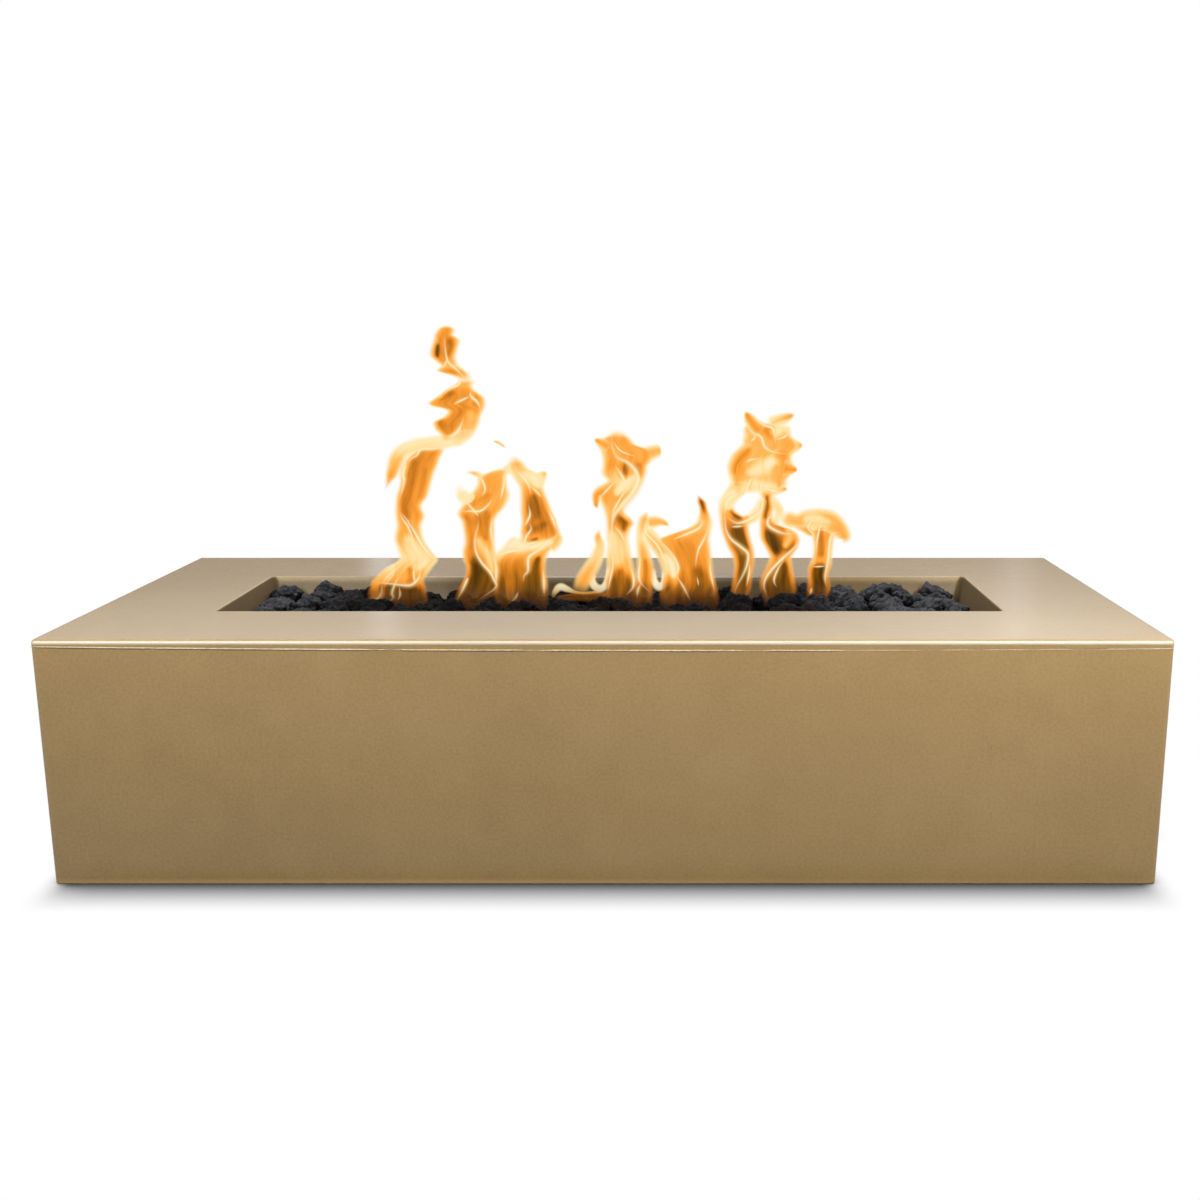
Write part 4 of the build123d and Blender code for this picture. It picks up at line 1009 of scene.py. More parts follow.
# %% Tongues, as rows of the photograph from foot to tip
# Each rung is (row, left column, right column, heat). Heat 0 is dark amber, 0.5 orange and 1 pale yellow.
CURTAINS = {
    "tall_column": [
        (616, 376, 424, 0.0), (603, 372, 425, 0.08), (595, 371, 424, 0.12), (588, 373, 423, 0.25),
        (581, 375, 421, 0.45), (574, 383, 425, 0.58), (567, 391, 430, 0.68), (559, 402, 435, 0.72),
        (549, 400, 427, 0.66), (539, 397, 421, 0.52), (526, 399, 419, 0.50), (516, 398, 422, 0.42),
        (506, 398, 419, 0.40), (496, 399, 425, 0.42), (486, 402, 428, 0.45), (475, 404, 431, 0.42),
        (465, 406, 435, 0.40), (457, 411, 438, 0.38), (450, 419, 442, 0.45), (444, 430, 446, 0.65)],
    "tall_body": [
        (445, 432, 456, 0.80), (441, 440, 464, 0.75), (436, 444, 470, 0.60), (427, 437, 475, 0.48),
        (422, 436, 477, 0.45), (417, 446, 478, 0.45), (410, 449, 481, 0.42), (404, 431, 483, 0.42),
        (397, 440, 481, 0.40), (390, 448, 472, 0.45), (385, 458, 470, 0.55), (379, 461, 474, 0.45)],
    "tall_crown": [
        (383, 463, 474, 0.50), (376, 455, 468, 0.55), (371, 440, 463, 0.40), (366, 443, 457, 0.60),
        (361, 438, 454, 0.42), (356, 433, 453, 0.36), (349, 433, 455, 0.36), (340, 436, 457, 0.38),
        (335, 437, 451, 0.40), (330, 440, 452, 0.42), (325, 444, 449, 0.45)],
    "second_column": [
        (616, 459, 480, 0.0), (602, 457, 479, 0.03), (595, 459, 492, 0.08), (588, 462, 496, 0.10),
        (577, 468, 497, 0.12), (567, 469, 496, 0.16), (560, 466, 494, 0.32), (552, 465, 493, 0.38),
        (542, 467, 492, 0.42), (531, 466, 492, 0.42), (521, 464, 492, 0.36), (514, 460, 496, 0.44),
        (506, 464, 503, 0.50), (496, 472, 507, 0.52), (486, 479, 505, 0.50), (478, 481, 504, 0.52),
        (474, 487, 505, 0.56), (470, 496, 506, 0.70), (467, 502, 507, 0.80)],
    "third_curtain": [
        (616, 500, 546, 0.0), (600, 498, 546, 0.05), (594, 497, 545, 0.08), (586, 497, 545, 0.14),
        (574, 497, 543, 0.25), (563, 497, 543, 0.35), (556, 503, 545, 0.50), (550, 511, 549, 0.58),
        (544, 515, 557, 0.52), (538, 522, 559, 0.44), (531, 523, 557, 0.34), (522, 524, 554, 0.30),
        (510, 523, 549, 0.32), (499, 523, 545, 0.38), (488, 522, 541, 0.52), (481, 518, 542, 0.66),
        (475, 514, 538, 0.70), (469, 510, 526, 0.65), (462, 511, 521, 0.55), (455, 512.5, 516, 0.50)],
    "fifth_column": [
        (616, 608, 634, 0.0), (601, 606, 636, 0.05), (594, 607, 635, 0.10), (587, 608, 635, 0.12),
        (580, 608, 634, 0.20), (571, 610, 632, 0.48), (557, 609, 629, 0.62), (545, 610, 627, 0.65),
        (538, 609, 626, 0.60), (530, 609, 628, 0.50), (523, 609, 631, 0.38), (516, 608, 624, 0.50),
        (507, 605, 622, 0.55), (500, 602, 627, 0.50), (493, 601, 633, 0.52), (487, 602, 637, 0.60),
        (481, 609, 641, 0.70), (474, 604, 644, 0.62), (466, 605, 645, 0.46), (458, 605, 650, 0.48),
        (451, 603, 650, 0.50), (445, 600, 634, 0.50), (440, 603, 629, 0.50), (434, 611, 624, 0.60),
        (428, 613, 621, 0.75)],
    "seventh_sail": [
        (616, 672, 712, 0.0), (601, 668, 716, 0.08), (594, 668, 715, 0.18), (584, 676, 713, 0.26),
        (570, 678, 710, 0.36), (557, 673, 709, 0.42), (547, 665, 708, 0.46), (540, 660, 707, 0.50),
        (534, 673, 708, 0.52), (529, 688, 709, 0.60), (523, 698, 710, 0.62), (516, 701, 708, 0.45),
        (509, 701, 706, 0.15), (502, 699, 704, 0.08), (495, 697, 699, 0.05)],
    "eighth_ribbon": [
        (616, 735, 741, 0.0), (601, 734, 740, 0.12), (592, 734, 747, 0.12), (578, 736, 749, 0.14),
        (565, 737, 751, 0.18), (554, 734, 752, 0.22), (545, 729, 750, 0.20), (534, 725, 747, 0.16),
        (526, 723, 746, 0.26), (519, 722, 745, 0.40), (512, 721, 734, 0.60), (505, 721, 732, 0.75),
        (498, 723, 738, 0.80), (491, 728, 746, 0.76), (484, 732, 752, 0.70), (477, 735, 757, 0.64)],
    "ninth_column": [
        (616, 769, 783, 0.0), (601, 767, 784, 0.05), (592, 764, 793, 0.08), (581, 763, 792, 0.14),
        (569, 768, 790, 0.24), (558, 772, 789, 0.40), (548, 768, 795, 0.22), (539, 763, 797, 0.28),
        (531, 762, 792, 0.32), (524, 762, 775, 0.32), (516, 762, 770, 0.40), (507, 764, 771, 0.20),
        (499, 764, 770, 0.25), (492, 762, 772, 0.60), (485, 758, 775, 0.74), (477, 754, 778, 0.66)],
    "swirl_head": [
        (495, 750, 766, 0.80), (491, 740, 776, 0.74), (485, 734, 784, 0.68), (479, 732, 785, 0.62),
        (472, 731, 791, 0.58), (466, 730, 791, 0.56), (460, 732, 789, 0.60), (454, 735, 791, 0.60),
        (447, 744, 797, 0.58), (441, 745, 794, 0.58), (436, 746, 789, 0.60), (429, 746, 788, 0.58),
        (422, 748, 786, 0.55)],
    "tenth_stem": [
        (616, 813, 822, 0.0), (600, 811, 823, 0.08), (592, 810, 827, 0.12), (583, 811, 827, 0.12),
        (576, 811, 825, 0.10), (568, 811, 828, 0.16), (563, 813, 829, 0.46), (556, 815, 829, 0.46),
        (547, 816, 830, 0.46), (539, 815, 831, 0.46), (532, 813, 834, 0.50), (525, 812, 836, 0.55)],
}

print(len(CURTAINS), "curtains")

# %% Licks and arms, as points along their middle
# Each point is (column, row, half width, heat).
LICKS = {
    "tall_arm": [
        (385, 490, 0.6, 0.30), (389, 480, 2.6, 0.42), (393, 470, 5, 0.50), (397, 459, 6.5, 0.62),
        (404, 451, 6, 0.80), (416, 446, 5.5, 0.82), (432, 443, 5, 0.82), (448, 441, 5, 0.85),
        (461, 436, 7, 0.70), (471, 425, 5, 0.6)],
    "tall_barb_upper": [(450, 399, 6, 0.40), (439, 402, 4, 0.38), (430, 405, 1.2, 0.35)],
    "tall_barb_lower": [(452, 426, 7, 0.40), (443, 426, 6, 0.36), (436, 423, 3.5, 0.34)],
    "tall_foot_left": [
        (400, 566, 3, 0.85), (388, 575, 5, 0.70), (380, 585, 5, 0.45), (379, 593, 5, 0.25),
        (374, 600, 3.5, 0.3), (367, 601, 1.2, 0.4)],
    "second_curl": [
        (459, 484, 2, 0.66), (461, 493, 4, 0.80), (467, 499, 5, 0.86), (475, 499, 5, 0.84),
        (481, 493, 4, 0.80), (484, 484, 3, 0.76), (480, 476, 2.2, 0.78), (473, 473, 1.6, 0.60),
        (465, 472, 0.9, 0.5)],
    "third_flag": [
        (531, 482, 4, 0.78), (538, 479, 4.5, 0.75), (543, 475, 3, 0.7), (546, 471, 0.9, 0.6)],
    "third_link": [(503, 471, 2.2, 0.75), (509, 469, 3, 0.82), (516, 471, 3, 0.80)],
    "stray_wisp": [(493, 441, 0.5, 0.62), (499, 443, 1.2, 0.66), (506, 448, 0.5, 0.62)],
    "third_bridge": [
        (492, 563, 4, 0.65), (500, 558, 4.5, 0.75), (508, 551, 5, 0.88), (514, 543, 4, 0.85),
        (521, 540, 2.5, 0.8)],
    "third_hip": [(548, 548, 6, 0.6), (556, 541, 4.5, 0.62), (559, 533, 2, 0.6)],
    "low_lick": [
        (553, 598, 1.0, 0.3), (555, 592, 1.8, 0.70), (560, 587, 2.4, 0.92), (567, 589, 2.0, 0.88),
        (575, 592, 1.0, 0.66), (585, 593, 0.8, 0.56), (596, 592, 0.9, 0.58), (604, 591, 1.2, 0.70)],
    "low_skirt": [
        (556, 598, 1.2, 0.06), (574, 597, 2.4, 0.08), (592, 597, 3, 0.10), (612, 597, 3, 0.10)],
    "fourth_tongue": [
        (578, 593, 5, 0.3), (584, 580, 6.5, 0.5), (591, 568, 6, 0.6), (597, 557, 4.8, 0.7),
        (600, 546, 3.4, 0.7), (598, 537, 2.6, 0.6), (600, 529, 1, 0.5)],
    "fourth_cup": [
        (593, 570, 1.6, 0.85), (592, 581, 2.4, 0.95), (597, 588, 2.6, 0.98), (604, 587, 2.4, 0.96),
        (608, 578, 2, 0.9), (609, 564, 1.6, 0.85)],
    "fifth_flag": [
        (638, 458, 7, 0.50), (648, 454, 6, 0.50), (657, 451, 4.6, 0.55), (662, 450, 2.5, 0.6)],
    "fifth_ear": [(610, 447, 5, 0.46), (602, 443, 3.4, 0.46), (594, 439, 1, 0.42)],
    "fifth_barb": [
        (611, 490, 5, 0.46), (603, 491, 4.4, 0.44), (597, 495, 3.4, 0.42), (596, 503, 2.2, 0.4),
        (597, 509, 0.9, 0.38)],
    "fifth_lobe": [(617, 519, 5.5, 0.34), (625, 522, 5.5, 0.3), (633, 523, 1.6, 0.34)],
    "sixth_left": [
        (645, 612, 5, 0.0), (645, 598, 5.5, 0.10), (645, 588, 6, 0.16), (646, 575, 6.5, 0.40),
        (645, 562, 6, 0.48), (643, 549, 4.6, 0.64), (641, 537, 3.4, 0.82), (643, 525, 4, 0.62),
        (645, 517, 3, 0.50), (648, 511, 1, 0.4)],
    "sixth_right": [
        (668, 612, 6, 0.0), (668, 597, 6.5, 0.10), (669, 586, 6.5, 0.25), (671, 574, 6.8, 0.62),
        (668, 562, 6.5, 0.62), (662, 551, 6, 0.58), (654, 541, 5.4, 0.62), (647, 530, 4.2, 0.78),
        (645, 520, 2.6, 0.7)],
    "sixth_flag": [
        (645, 524, 5.4, 0.55), (654, 522, 4.2, 0.55), (662, 522, 2.6, 0.55), (670, 526, 0.8, 0.5)],
    "sixth_cup": [
        (653, 568, 1.6, 0.82), (654, 580, 2.2, 0.95), (659, 587, 2.6, 0.98), (664, 582, 2.0, 0.95),
        (664, 570, 1.6, 0.85)],
    "eighth_loop": [
        (731, 520, 3.5, 0.82), (741, 522, 3.5, 0.80), (750, 519, 3.6, 0.80), (757, 513, 4, 0.85),
        (762, 505, 4, 0.85), (764, 494, 4.4, 0.82)],
    "ninth_link": [
        (766, 494, 4, 0.85), (773, 503, 4, 0.82), (779, 511, 3.4, 0.8), (777, 519, 2.4, 0.85),
        (771, 525, 2.6, 0.7)],
    "horn_left": [
        (762, 434, 8, 0.5), (755, 426, 5.5, 0.44), (749, 418, 3.6, 0.42), (745, 411, 1, 0.4)],
    "horn_right": [
        (768, 426, 7, 0.78), (778, 421, 4.6, 0.68), (786, 418, 3.4, 0.56), (795, 414, 1.2, 0.45)],
    "barb_upper": [(786, 447, 7, 0.5), (795, 446, 4.4, 0.5), (803, 445, 1, 0.4)],
    "barb_lower": [(783, 468, 8, 0.46), (790, 469, 4.6, 0.42), (798, 470, 1, 0.32)],
    "left_arch": [
        (736, 481, 4, 0.48), (735, 468, 5, 0.44), (740, 458, 6, 0.44), (748, 450, 6, 0.5),
        (757, 445, 5, 0.56)],
    "head_tail": [(770, 490, 4.4, 0.75), (779, 489, 3.2, 0.6), (788, 489, 1, 0.5)],
    "tenth_cap": [
        (779, 512, 2.5, 0.68), (786, 518, 6, 0.62), (797, 521, 6, 0.56), (808, 519, 8, 0.60),
        (820, 520, 10, 0.60), (831, 523, 10, 0.58), (840, 530, 7.5, 0.55), (845, 538, 4.4, 0.5),
        (843, 544, 1.2, 0.45)],
    "tenth_under": [(795, 523, 3, 0.34), (806, 528, 3.8, 0.40), (814, 536, 2, 0.4)],
}

print(len(LICKS), "licks and arms")

# %% Folds, as points along their middle
# Where a sheet turns edge on it shows as a thin bright line. Each point is (column, row), and the number
# that comes first is the line's half width.
FOLDS = [
    (1.7, (398, 510), (407, 520), (415, 533), (424, 548), (432, 557), (436, 559)),
    (1.0, (399, 512), (402, 518), (408, 527), (413, 539), (414, 549)),
    (1.8, (402, 453), (404, 459), (405, 466), (403, 474), (404, 481), (402, 491), (399, 501)),
    (1.3, (405, 466), (411, 459), (417, 455), (421, 449), (430, 449), (441, 448), (449, 443)),
    (1.8, (444, 439), (452, 436), (458, 431), (461, 425), (464, 416)),
    (1.4, (481, 412), (478, 403), (471, 396), (470, 390)),
    (1.2, (471, 396), (462, 400), (452, 405)),
    (1.3, (468, 380), (462, 375), (456, 369), (450, 364), (447, 359), (445, 346), (445, 330)),
    (1.0, (444, 368), (447, 359)),
    (1.1, (457, 373), (460, 380), (458, 385), (450, 389), (442, 395)),
    (1.4, (382, 583), (389, 575), (401, 565)),
    (1.5, (375, 583), (384, 583), (401, 585), (411, 585), (418, 579), (420, 572), (421, 557)),
    (1.5, (382, 583), (381, 594), (375, 600), (367, 600)),
    (1.3, (401, 574), (395, 584), (392, 593), (393, 598), (386, 603)),
    (0.9, (399, 586), (400, 595), (397, 601)),
    (1.0, (414, 559), (414, 577), (416, 583)),
    (1.4, (479, 514), (478, 526), (475, 539), (476, 552), (482, 563), (490, 572), (494, 580), (496, 587),
     (486, 595), (475, 602)),
    (1.8, (493, 552), (496, 567), (496, 577), (496, 587)),
    (1.4, (459, 512), (470, 511), (480, 511), (488, 505), (493, 498)),
    (1.1, (464, 500), (469, 505), (476, 513), (479, 517)),
    (1.3, (503, 472), (504, 482), (502, 493), (500, 502)),
    (1.3, (456, 601), (462, 591), (467, 580), (468, 577)),
    (1.2, (481, 497), (485, 490), (482, 480), (475, 474)),
    (1.3, (492, 516), (491, 531), (493, 547)),
    (1.4, (513, 469), (521, 475), (528, 484), (531, 495)),
    (1.0, (528, 484), (537, 492), (542, 498)),
    (1.2, (528, 503), (530, 514), (527, 522), (524, 527)),
    (1.3, (529, 522), (531, 529), (526, 537), (524, 545), (522, 551)),
    (1.7, (555, 533), (549, 541), (540, 549), (530, 556), (528, 562), (528, 571), (524, 576), (523, 583)),
    (1.3, (524, 546), (532, 543), (540, 542)),
    (2.0, (497, 556), (511, 551), (520, 551)),
    (1.4, (547, 508), (553, 520), (556, 530)),
    (1.6, (543, 567), (544, 585), (544, 596)),
    (0.9, (518, 591), (516, 597), (509, 604)),
    (2.6, (610, 557), (612, 540), (612, 526), (614, 516), (622, 505), (632, 493), (638, 480), (635, 470),
     (627, 462), (617, 457), (612, 445), (613, 432)),
    (1.2, (613, 525), (621, 534), (625, 543)),
    (1.3, (615, 465), (622, 476), (628, 486)),
    (1.0, (619, 477), (607, 490), (601, 497)),
    (1.2, (612, 524), (613, 513), (617, 504), (624, 493), (631, 484)),
    (1.0, (610, 545), (613, 563), (610, 580), (607, 595)),
    (1.4, (628, 563), (633, 575), (633, 587), (625, 596)),
    (0.8, (612, 440), (621, 451), (637, 457)),
    (1.3, (646, 516), (645, 526), (647, 534), (657, 545), (663, 556), (668, 567), (673, 574)),
    (1.5, (660, 540), (672, 554), (678, 566), (677, 573), (673, 575)),
    (1.0, (676, 575), (684, 588), (691, 602)),
    (1.6, (640, 551), (640, 563), (639, 575), (641, 583), (651, 593)),
    (1.0, (641, 583), (638, 590), (637, 598)),
    (1.6, (671, 540), (684, 535), (699, 528), (703, 519)),
    (1.2, (709, 526), (704, 539), (698, 551), (695, 569)),
    (0.5, (697, 576), (699, 587)),
    (1.0, (709, 557), (711, 575), (715, 593)),
    (1.6, (722, 504), (725, 517), (726, 529), (731, 539), (741, 547), (748, 554), (747, 565), (743, 575),
     (737, 586), (734, 595)),
    (1.6, (725, 516), (737, 523), (750, 519), (760, 511), (765, 499)),
    (0.9, (730, 527), (745, 526)),
    (1.0, (750, 561), (749, 574), (746, 588)),
    (1.6, (797, 541), (795, 547), (782, 559), (769, 573), (764, 585), (768, 599)),
    (1.7, (780, 512), (769, 518), (769, 526), (782, 533), (796, 534)),
    (1.0, (785, 559), (778, 569), (774, 580), (777, 588)),
    (1.3, (764, 495), (762, 507), (760, 515)),
    (1.5, (745, 420), (751, 431), (761, 437), (765, 447), (774, 452), (793, 455)),
    (1.2, (749, 415), (764, 425), (772, 428), (775, 436), (775, 445)),
    (1.2, (775, 440), (784, 437), (788, 433)),
    (1.0, (757, 436), (750, 442)),
    (1.0, (746, 463), (750, 460), (761, 458)),
    (1.3, (745, 494), (749, 483), (754, 476)),
    (1.2, (760, 493), (762, 480)),
    (1.3, (763, 488), (774, 491), (781, 494)),
    (1.8, (743, 491), (729, 499), (726, 507), (725, 514)),
    (1.1, (809, 512), (813, 518), (808, 527), (813, 534), (816, 538)),
    (1.1, (825, 514), (820, 527), (817, 541), (816, 558)),
    (1.6, (844, 533), (834, 533), (830, 541), (828, 561), (825, 578), (827, 588)),
    (0.7, (811, 567), (827, 566)),
    (1.0, (812, 587), (810, 595)),
]

print(len(FOLDS), "folds")

# %% Patches, as points along their middle
# Inside a sheet the gas glows unevenly. Each soft patch has its heat first, then its points, which are
# (column, row, half width).
PATCHES = [
    (0.02, (437, 346, 2.4), (437, 350, 3.2), (437, 355, 2.4)),
    (0.22, (450, 342, 3.0), (452, 348, 4.0), (449, 354, 3.0)),
    (0.27, (441, 398, 2.2), (447, 395, 3.2), (453, 393, 2.2)),
    (0.25, (440, 421, 4), (443, 428, 6), (446, 435, 4)),
    (0.33, (462, 411, 5), (456, 420, 7), (449, 430, 5)),
    (0.66, (471, 414, 4), (471, 425, 6), (465, 435, 4)),
    (0.28, (414, 464, 4), (410, 484, 6), (405, 504, 6), (407, 518, 4)),
    (0.34, (425, 470, 4), (423, 484, 5), (420, 496, 3)),
    (0.10, (410, 523, 1.2), (412, 530, 2.2), (414, 537, 1.2)),
    (0.84, (409, 540, 6), (417, 552, 10), (422, 562, 7)),
    (0.04, (384, 589, 5), (392, 589, 5), (402, 590, 5), (414, 591, 4)),
    (0.30, (410, 570, 3), (411, 578, 4), (410, 584, 3)),
    (0.00, (481, 563, 8), (476, 574, 11), (472, 586, 10), (470, 596, 6)),
    (0.26, (486, 513, 4), (486, 524, 5), (486, 538, 3)),
    (0.32, (466, 518, 3), (468, 531, 4.5), (470, 546, 4)),
    (0.40, (472, 506, 2.5), (480, 500, 4), (489, 495, 2.5)),
    (0.80, (479, 541, 4), (487, 556, 6), (492, 570, 4)),
    (0.18, (534, 498, 4), (535, 507, 6), (536, 516, 4.5)),
    (0.18, (531, 530, 3.6), (538, 528, 4.4), (545, 524, 3)),
    (0.06, (526, 540, 1.6), (531, 541, 2.2), (537, 539, 1.6)),
    (0.08, (538, 560, 4), (536, 572, 6), (535, 584, 7), (536, 596, 6)),
    (0.26, (512, 582, 6), (513, 590, 8), (512, 597, 8)),
    (0.96, (514, 546, 5), (520, 545, 8), (528, 546, 5)),
    (0.95, (533, 547, 3), (541, 545, 5), (550, 542, 3)),
    (0.92, (526, 476, 5), (534, 480, 7), (538, 484, 4)),
    (0.14, (625, 465, 2.0), (625, 471, 3.4), (626, 478, 2.0)),
    (0.28, (638, 465, 3), (640, 469, 4), (640, 475, 3)),
    (0.16, (618, 518, 4), (623, 522, 5.5), (625, 529, 3)),
    (0.20, (620, 573, 5), (619, 581, 8), (619, 591, 8)),
    (0.97, (618, 492, 4), (626, 486, 7), (634, 478, 4)),
    (0.80, (612, 536, 5), (615, 546, 7), (617, 560, 6)),
    (0.30, (646, 562, 3), (647, 570, 4), (646, 580, 3)),
    (0.95, (664, 556, 3), (671, 566, 5), (673, 575, 3)),
    (0.36, (682, 545, 6), (686, 552, 9), (688, 564, 8)),
    (0.14, (698, 572, 6), (702, 582, 8), (702, 594, 8)),
    (0.04, (732, 511, 2.2), (738, 516, 3.4), (746, 517, 2.2)),
    (0.05, (737, 531, 5), (740, 537, 6), (746, 547, 4)),
    (0.10, (742, 558, 3.4), (741, 567, 4.4), (739, 578, 3)),
    (0.03, (768, 534, 5), (772, 542, 8), (776, 550, 5)),
    (0.04, (784, 566, 5), (784, 578, 7), (778, 592, 7)),
    (0.12, (767, 497, 2), (766, 507, 2.6), (765, 517, 2.4)),
    (0.36, (749, 416, 3), (761, 424, 5), (770, 435, 4)),
    (0.34, (736, 473, 3), (739, 462, 4.4), (748, 452, 3.4)),
    (0.42, (784, 456, 5), (788, 465, 6), (786, 475, 5)),
    (0.90, (752, 472, 5), (762, 467, 8), (773, 462, 5)),
    (0.92, (776, 432, 5), (784, 428, 6), (790, 424, 4)),
    (0.84, (744, 488, 4), (751, 484, 5), (762, 486, 5), (772, 488, 4)),
    (0.48, (736, 482, 3), (739, 474, 4), (742, 468, 3)),
    (0.55, (781, 482, 4), (777, 476, 5), (776, 470, 4)),
    (0.96, (729, 507, 3), (728, 500, 5), (733, 494, 4)),
    (0.84, (808, 520, 5), (816, 521, 7), (826, 523, 5)),
    (0.20, (820, 531, 3), (820, 540, 4.4), (820, 553, 4)),
    (0.00, (820, 568, 5), (819, 578, 6), (818, 592, 5)),
    (0.78, (788, 531, 3), (790, 536, 4.5), (786, 545, 3)),
]

print(len(PATCHES), "patches")

# %% Turn a ladder of rungs into a sheet
METRES_PER_PIXEL = -EYE[1] / FOCAL_PIXELS
FOOT_ROW = 600
STEPS_BETWEEN = 6
POINT_SPACING = 2.0
SWAY = 0.045
SWAY_RISE = 240
SWAY_WAVES = (37, 48)


def smooth_line(points):
    """Rows of numbers on a Catmull-Rom line through the given rows."""
    points = np.array(points, float)
    ends = np.vstack([2 * points[0] - points[1], points, 2 * points[-1] - points[-2]])
    share = (np.arange(STEPS_BETWEEN) / STEPS_BETWEEN)[:, None]
    stretches = []
    for before, start, end, after in zip(ends, ends[1:], ends[2:], ends[3:]):
        bend = 2 * before - 5 * start + 4 * end - after
        turn = 3 * (start - end) + after - before
        stretches.append(start + 0.5 * share * (end - before + share * (bend + share * turn)))
    return np.vstack([*stretches, points[-1:]])


def sway(columns, rows):
    """How far the gas leans back or forth at these pixels. It leans more, the higher it has risen."""
    risen = np.clip((FOOT_ROW - rows) / SWAY_RISE, 0, 1)
    return SWAY * risen * np.sin(columns / SWAY_WAVES[0] + rows / SWAY_WAVES[1])


def sheet_from(left, right, heat, ends, thick, shift=0.0, soft=0.0):
    """A closed sheet between two edge lines in pixels: its points, their pixels and what they carry."""
    count = len(heat)
    widest = np.linalg.norm(right - left, axis=1).max()
    steps = max(5, math.ceil(widest / POINT_SPACING))
    back = np.linspace(-1, 1, steps, endpoint=False)
    across = np.concatenate([-back, back])
    face = np.repeat([-1, 1], steps)
    pixels = (left + right)[:, None] / 2 + (right - left)[:, None] / 2 * across[None, :, None]
    share = np.linspace(0, 1, count)
    fade = np.clip(share / ends[0], 0, 1) * np.clip((1 - share) / ends[1], 0, 1)
    half = np.linalg.norm(right - left, axis=1) / 2 * METRES_PER_PIXEL
    bulge = np.clip(half * thick[0], thick[1], thick[2]) * (0.3 + 0.7 * np.sqrt(fade))
    depths = sway(pixels[..., 0], pixels[..., 1]) + shift + np.outer(bulge, face * np.sqrt(1 - across**2))
    points = on_burner(pixels[..., 0], pixels[..., 1], depths)
    run = np.linalg.norm(np.diff((left + right) / 2, axis=0), axis=1) * METRES_PER_PIXEL
    along = np.concatenate([[0], np.cumsum(run)]) + left[0, 0]
    ones = np.ones(2 * steps)
    flow = [np.outer(np.ones(count), across), np.outer(along, ones), np.outer(half, ones)]
    glow = [np.outer(heat, ones), np.outer(fade, ones), np.full((count, 2 * steps), soft)]
    return points, pixels, np.stack(flow, axis=-1), np.stack(glow, axis=-1)


def edges_of(line):
    """Left and right edge of a stroke, from rows of (column, row, half width)."""
    middle, half = line[:, :2], line[:, 2:3]
    run = np.gradient(middle, axis=0)
    run /= np.linalg.norm(run, axis=1)[:, None]
    side = np.stack([-run[:, 1], run[:, 0]], axis=1)
    return middle - side * half, middle + side * half


# %% Cut the sheets of all strokes and paint the patches on them
HALO = 5.0
THIN = 8
FOOT_FADE = 0.01
START_FADE = 0.12
TIP_FADE = 0.07
LICK_FADE = (0.15, 0.15)
LICK_SHIFT = 0.002
FOLD_FADE = (0.4, 0.4)
FOLD_SPREAD = 3.2
FOLD_HEAT = 0.95
PATCH_REACH = (1.7, 1.6)
PATCH_SHARE = 0.85
SHEET_THICK = (0.35, 0.003, 0.007)
FOLD_THICK = (0.3, 0.001, 0.002)
FOLD_SHIFT = 0.009


def painted(sheet):
    """The same sheet, with the heat of each patch blended in where it lies."""
    points, pixels, flow, glow = sheet
    for heat, *strokes in PATCHES:
        line = smooth_line(strokes)
        apart = np.linalg.norm(pixels[..., None, :] - line[:, :2], axis=-1) / line[:, 2]
        cover = np.clip((PATCH_REACH[0] - apart.min(axis=-1)) / PATCH_REACH[1], 0, 1)
        cover = cover**2 * (3 - 2 * cover)
        glow[..., 0] += (heat - glow[..., 0]) * cover * PATCH_SHARE
    return points, pixels, flow, glow


def curtain_sheets():
    """The broad tongues. One that starts at the burner fades in at once, one that starts above it slowly."""
    for rungs in CURTAINS.values():
        line = smooth_line(rungs)
        halo = HALO * np.clip((line[:, 2] - line[:, 1]) / THIN, 0.2, 1)
        left = np.stack([line[:, 1] - halo, line[:, 0]], axis=1)
        right = np.stack([line[:, 2] + halo, line[:, 0]], axis=1)
        start = FOOT_FADE if line[0, 0] > FOOT_ROW else START_FADE
        yield painted(sheet_from(left, right, line[:, 3], (start, TIP_FADE), SHEET_THICK))


def lick_sheets():
    """The narrow tongues and arms, in three depths so that crossing ones don't share a plane."""
    for number, points in enumerate(LICKS.values()):
        line = smooth_line(points)
        line[:, 2] += HALO * 0.8 * np.clip(line[:, 2] / (THIN / 2), 0.15, 1)
        shift = LICK_SHIFT * (number % 3 - 1)
        yield painted(sheet_from(*edges_of(line), line[:, 3], LICK_FADE, SHEET_THICK, shift))


def fold_sheets():
    """The bright lines, each once before the tongues and once behind them."""
    for half, *points in FOLDS:
        line = smooth_line(points)
        taper = np.sin(np.linspace(0.05, 0.95, len(line)) * math.pi)
        edges = edges_of(np.column_stack([line, half * FOLD_SPREAD * taper]))
        heat = np.full(len(line), FOLD_HEAT)
        for shift in (-FOLD_SHIFT, FOLD_SHIFT):
            yield sheet_from(*edges, heat, FOLD_FADE, FOLD_THICK, shift, 1.0)


# %% Finish of burning gas
GAS_COLOURS = [(0.0, (0.085, 0.034, 0.003)), (0.16, (0.27, 0.10, 0.006)), (0.30, (0.68, 0.21, 0.014)),
               (0.46, (1.0, 0.36, 0.040)), (0.62, (1.0, 0.50, 0.11)), (0.80, (1.0, 0.75, 0.34)),
               (1.0, (1.0, 0.92, 0.66))]
RIM = 0.0120
LIT_RISE = (0.022, 0.080)
PALE_RISE = (0.03, 0.14)
AMBER_GLOW = (0.14, 0.045, 0.012)


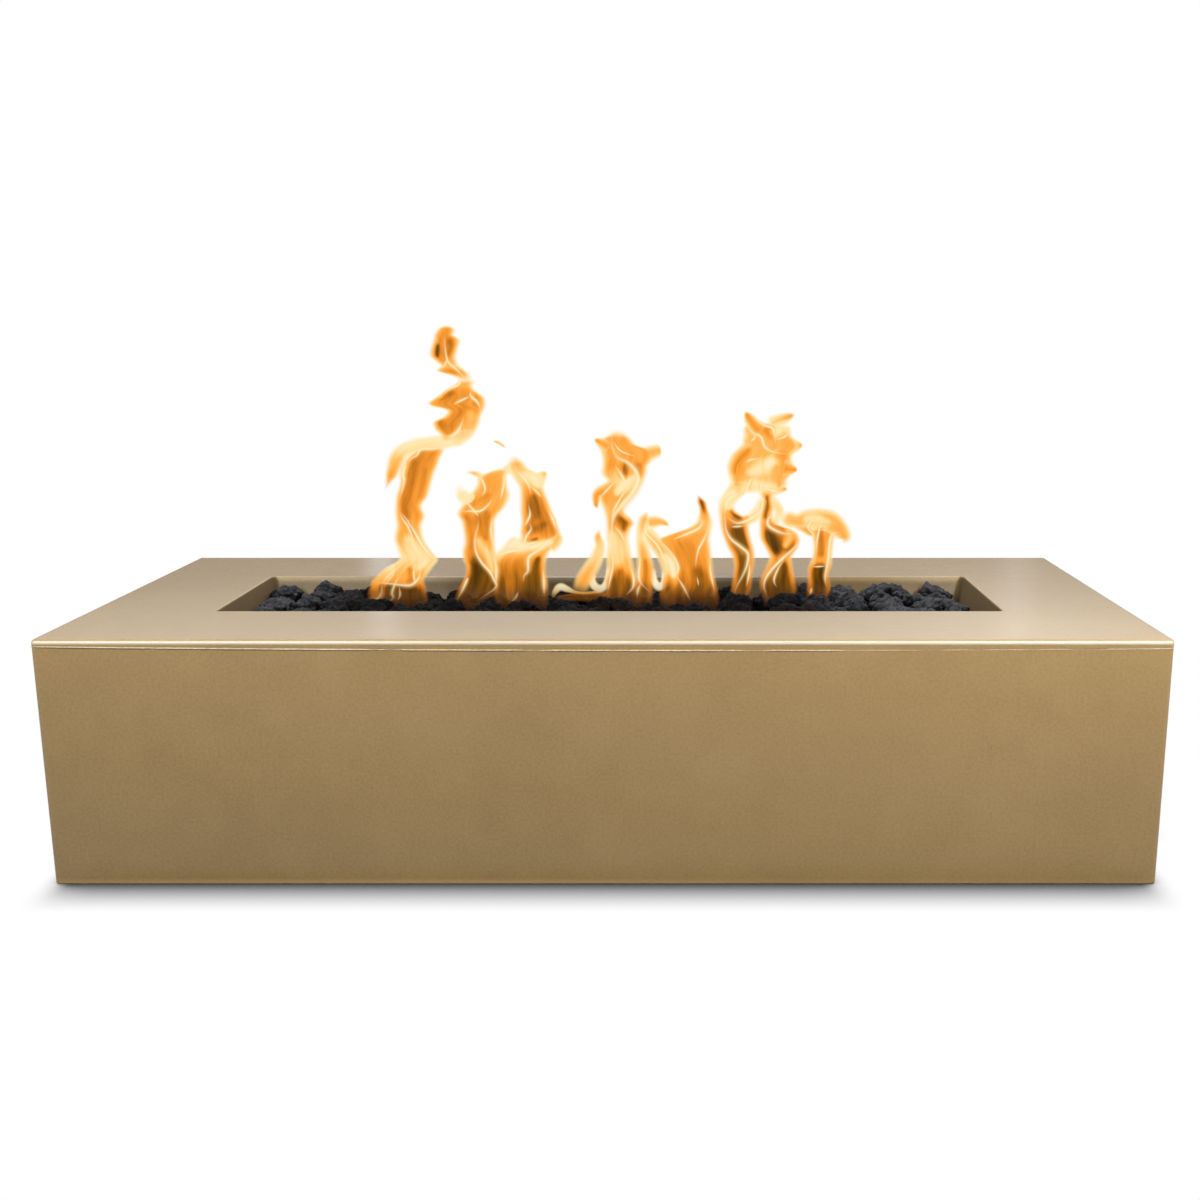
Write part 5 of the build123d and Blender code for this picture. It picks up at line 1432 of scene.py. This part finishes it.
def burning_gas(foot):
    """Light that is coloured by heat, pale and clear towards each sheet's rim, and dim near its foot."""
    material, board = new_finish("burning_gas")
    flow = board.node("ShaderNodeAttribute", {"attribute_name": "flow"}, out="Vector")
    glow = board.node("ShaderNodeAttribute", {"attribute_name": "glow"}, out="Vector")
    across = split(board, flow)
    along, width = across.other("Y"), across.other("Z")
    heat = split(board, glow)
    fade, soft = heat.other("Y"), heat.other("Z")
    rim_width = board.maths("MINIMUM", width * 0.7, RIM)
    rim_width = rim_width + soft * (width - rim_width)
    inward = (1 - abs(across)) * width / rim_width
    rim = ease(board, inward, 0.0, 1.0)
    streaks = noise(board, vector(board, across * width * 90, along * 11, along * 3), 1.0, 3.0, 0.6)
    core = ease(board, inward, 0.58, 1.0)
    height = split(board, object_place(board)).other("Z")
    lit = ease(board, height - foot, *LIT_RISE)
    risen = ease(board, height - foot, *PALE_RISE)
    pale = (1 - ease(board, inward, 0.2, 1.5)) * (1 - soft) * (0.2 + risen * 0.6)
    warmth = heat + (streaks - 0.5) * 0.36 * (1 - soft) - soft * (1 - core) * 0.25
    warmth = warmth + (0.9 - warmth) * pale
    warmth = warmth + (1 - fade) * (1 - soft) * 0.3
    colour = ramp(board, warmth, GAS_COLOURS)
    colour = tint(board, (1 - lit) * 0.7, colour, AMBER_GLOW)
    coat(board, {
        "Base Color": (0, 0, 0),
        "Specular IOR Level": 0.0,
        "Roughness": 1.0,
        "Emission Color": colour,
        "Emission Strength": 1.0,
        "Alpha": fade * (rim * (0.94 - soft * 0.66) + core * soft * 0.42) * (0.15 + lit * 0.85),
    })
    return material


# %% Build the flames
import bmesh

FLAME_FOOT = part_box("flames")[0].z


def flame_piece(name, sheets, material):
    """One mesh of many closed sheets, with their attributes."""
    points, faces, flows, glows = [], [], [], []
    start = 0
    for sheet, pixels, flow, glow in sheets:
        count, sides = sheet.shape[:2]
        for ring in range(count - 1):
            for step in range(sides):
                a = start + ring * sides + step
                b = start + ring * sides + (step + 1) % sides
                faces.append((a, b, b + sides, a + sides))
        faces.append(tuple(start + step for step in reversed(range(sides))))
        faces.append(tuple(start + (count - 1) * sides + step for step in range(sides)))
        points.append(sheet.reshape(-1, 3))
        flows.append(flow.reshape(-1, 3))
        glows.append(glow.reshape(-1, 3))
        start += count * sides
    points = np.vstack(points)
    points[:, 2] = np.maximum(points[:, 2], FLAME_FOOT)
    mesh = bpy.data.meshes.new(name)
    mesh.from_pydata(points.tolist(), [], faces)
    for label, blocks in (("flow", flows), ("glow", glows)):
        attribute = mesh.attributes.new(label, "FLOAT_VECTOR", "POINT")
        attribute.data.foreach_set("vector", np.vstack(blocks).astype(np.float32).ravel())
    shape = bmesh.new()
    shape.from_mesh(mesh)
    bmesh.ops.recalc_face_normals(shape, faces=shape.faces)
    shape.to_mesh(mesh)
    shape.free()
    mesh.shade_smooth()
    mesh.materials.append(material)
    piece = bpy.data.objects.new(name, mesh)
    piece.visible_glossy = False
    piece.visible_diffuse = False
    scene.collection.objects.link(piece)
    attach(piece, "pit")
    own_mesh(piece)
    print(name, len(mesh.polygons), "faces, up to", round(points[:, 2].max(), 3), "m")
    return piece


gas = burning_gas(FLAME_FOOT)
tongues = flame_piece("flame_tongues", [*curtain_sheets(), *lick_sheets()], gas)
flame_piece("flame_folds", list(fold_sheets()), gas)
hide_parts("flames")
SHEETS_IN_LINE = 40
scene.cycles.transparent_max_bounces = SHEETS_IN_LINE
scene.cycles.min_transparent_bounces = SHEETS_IN_LINE
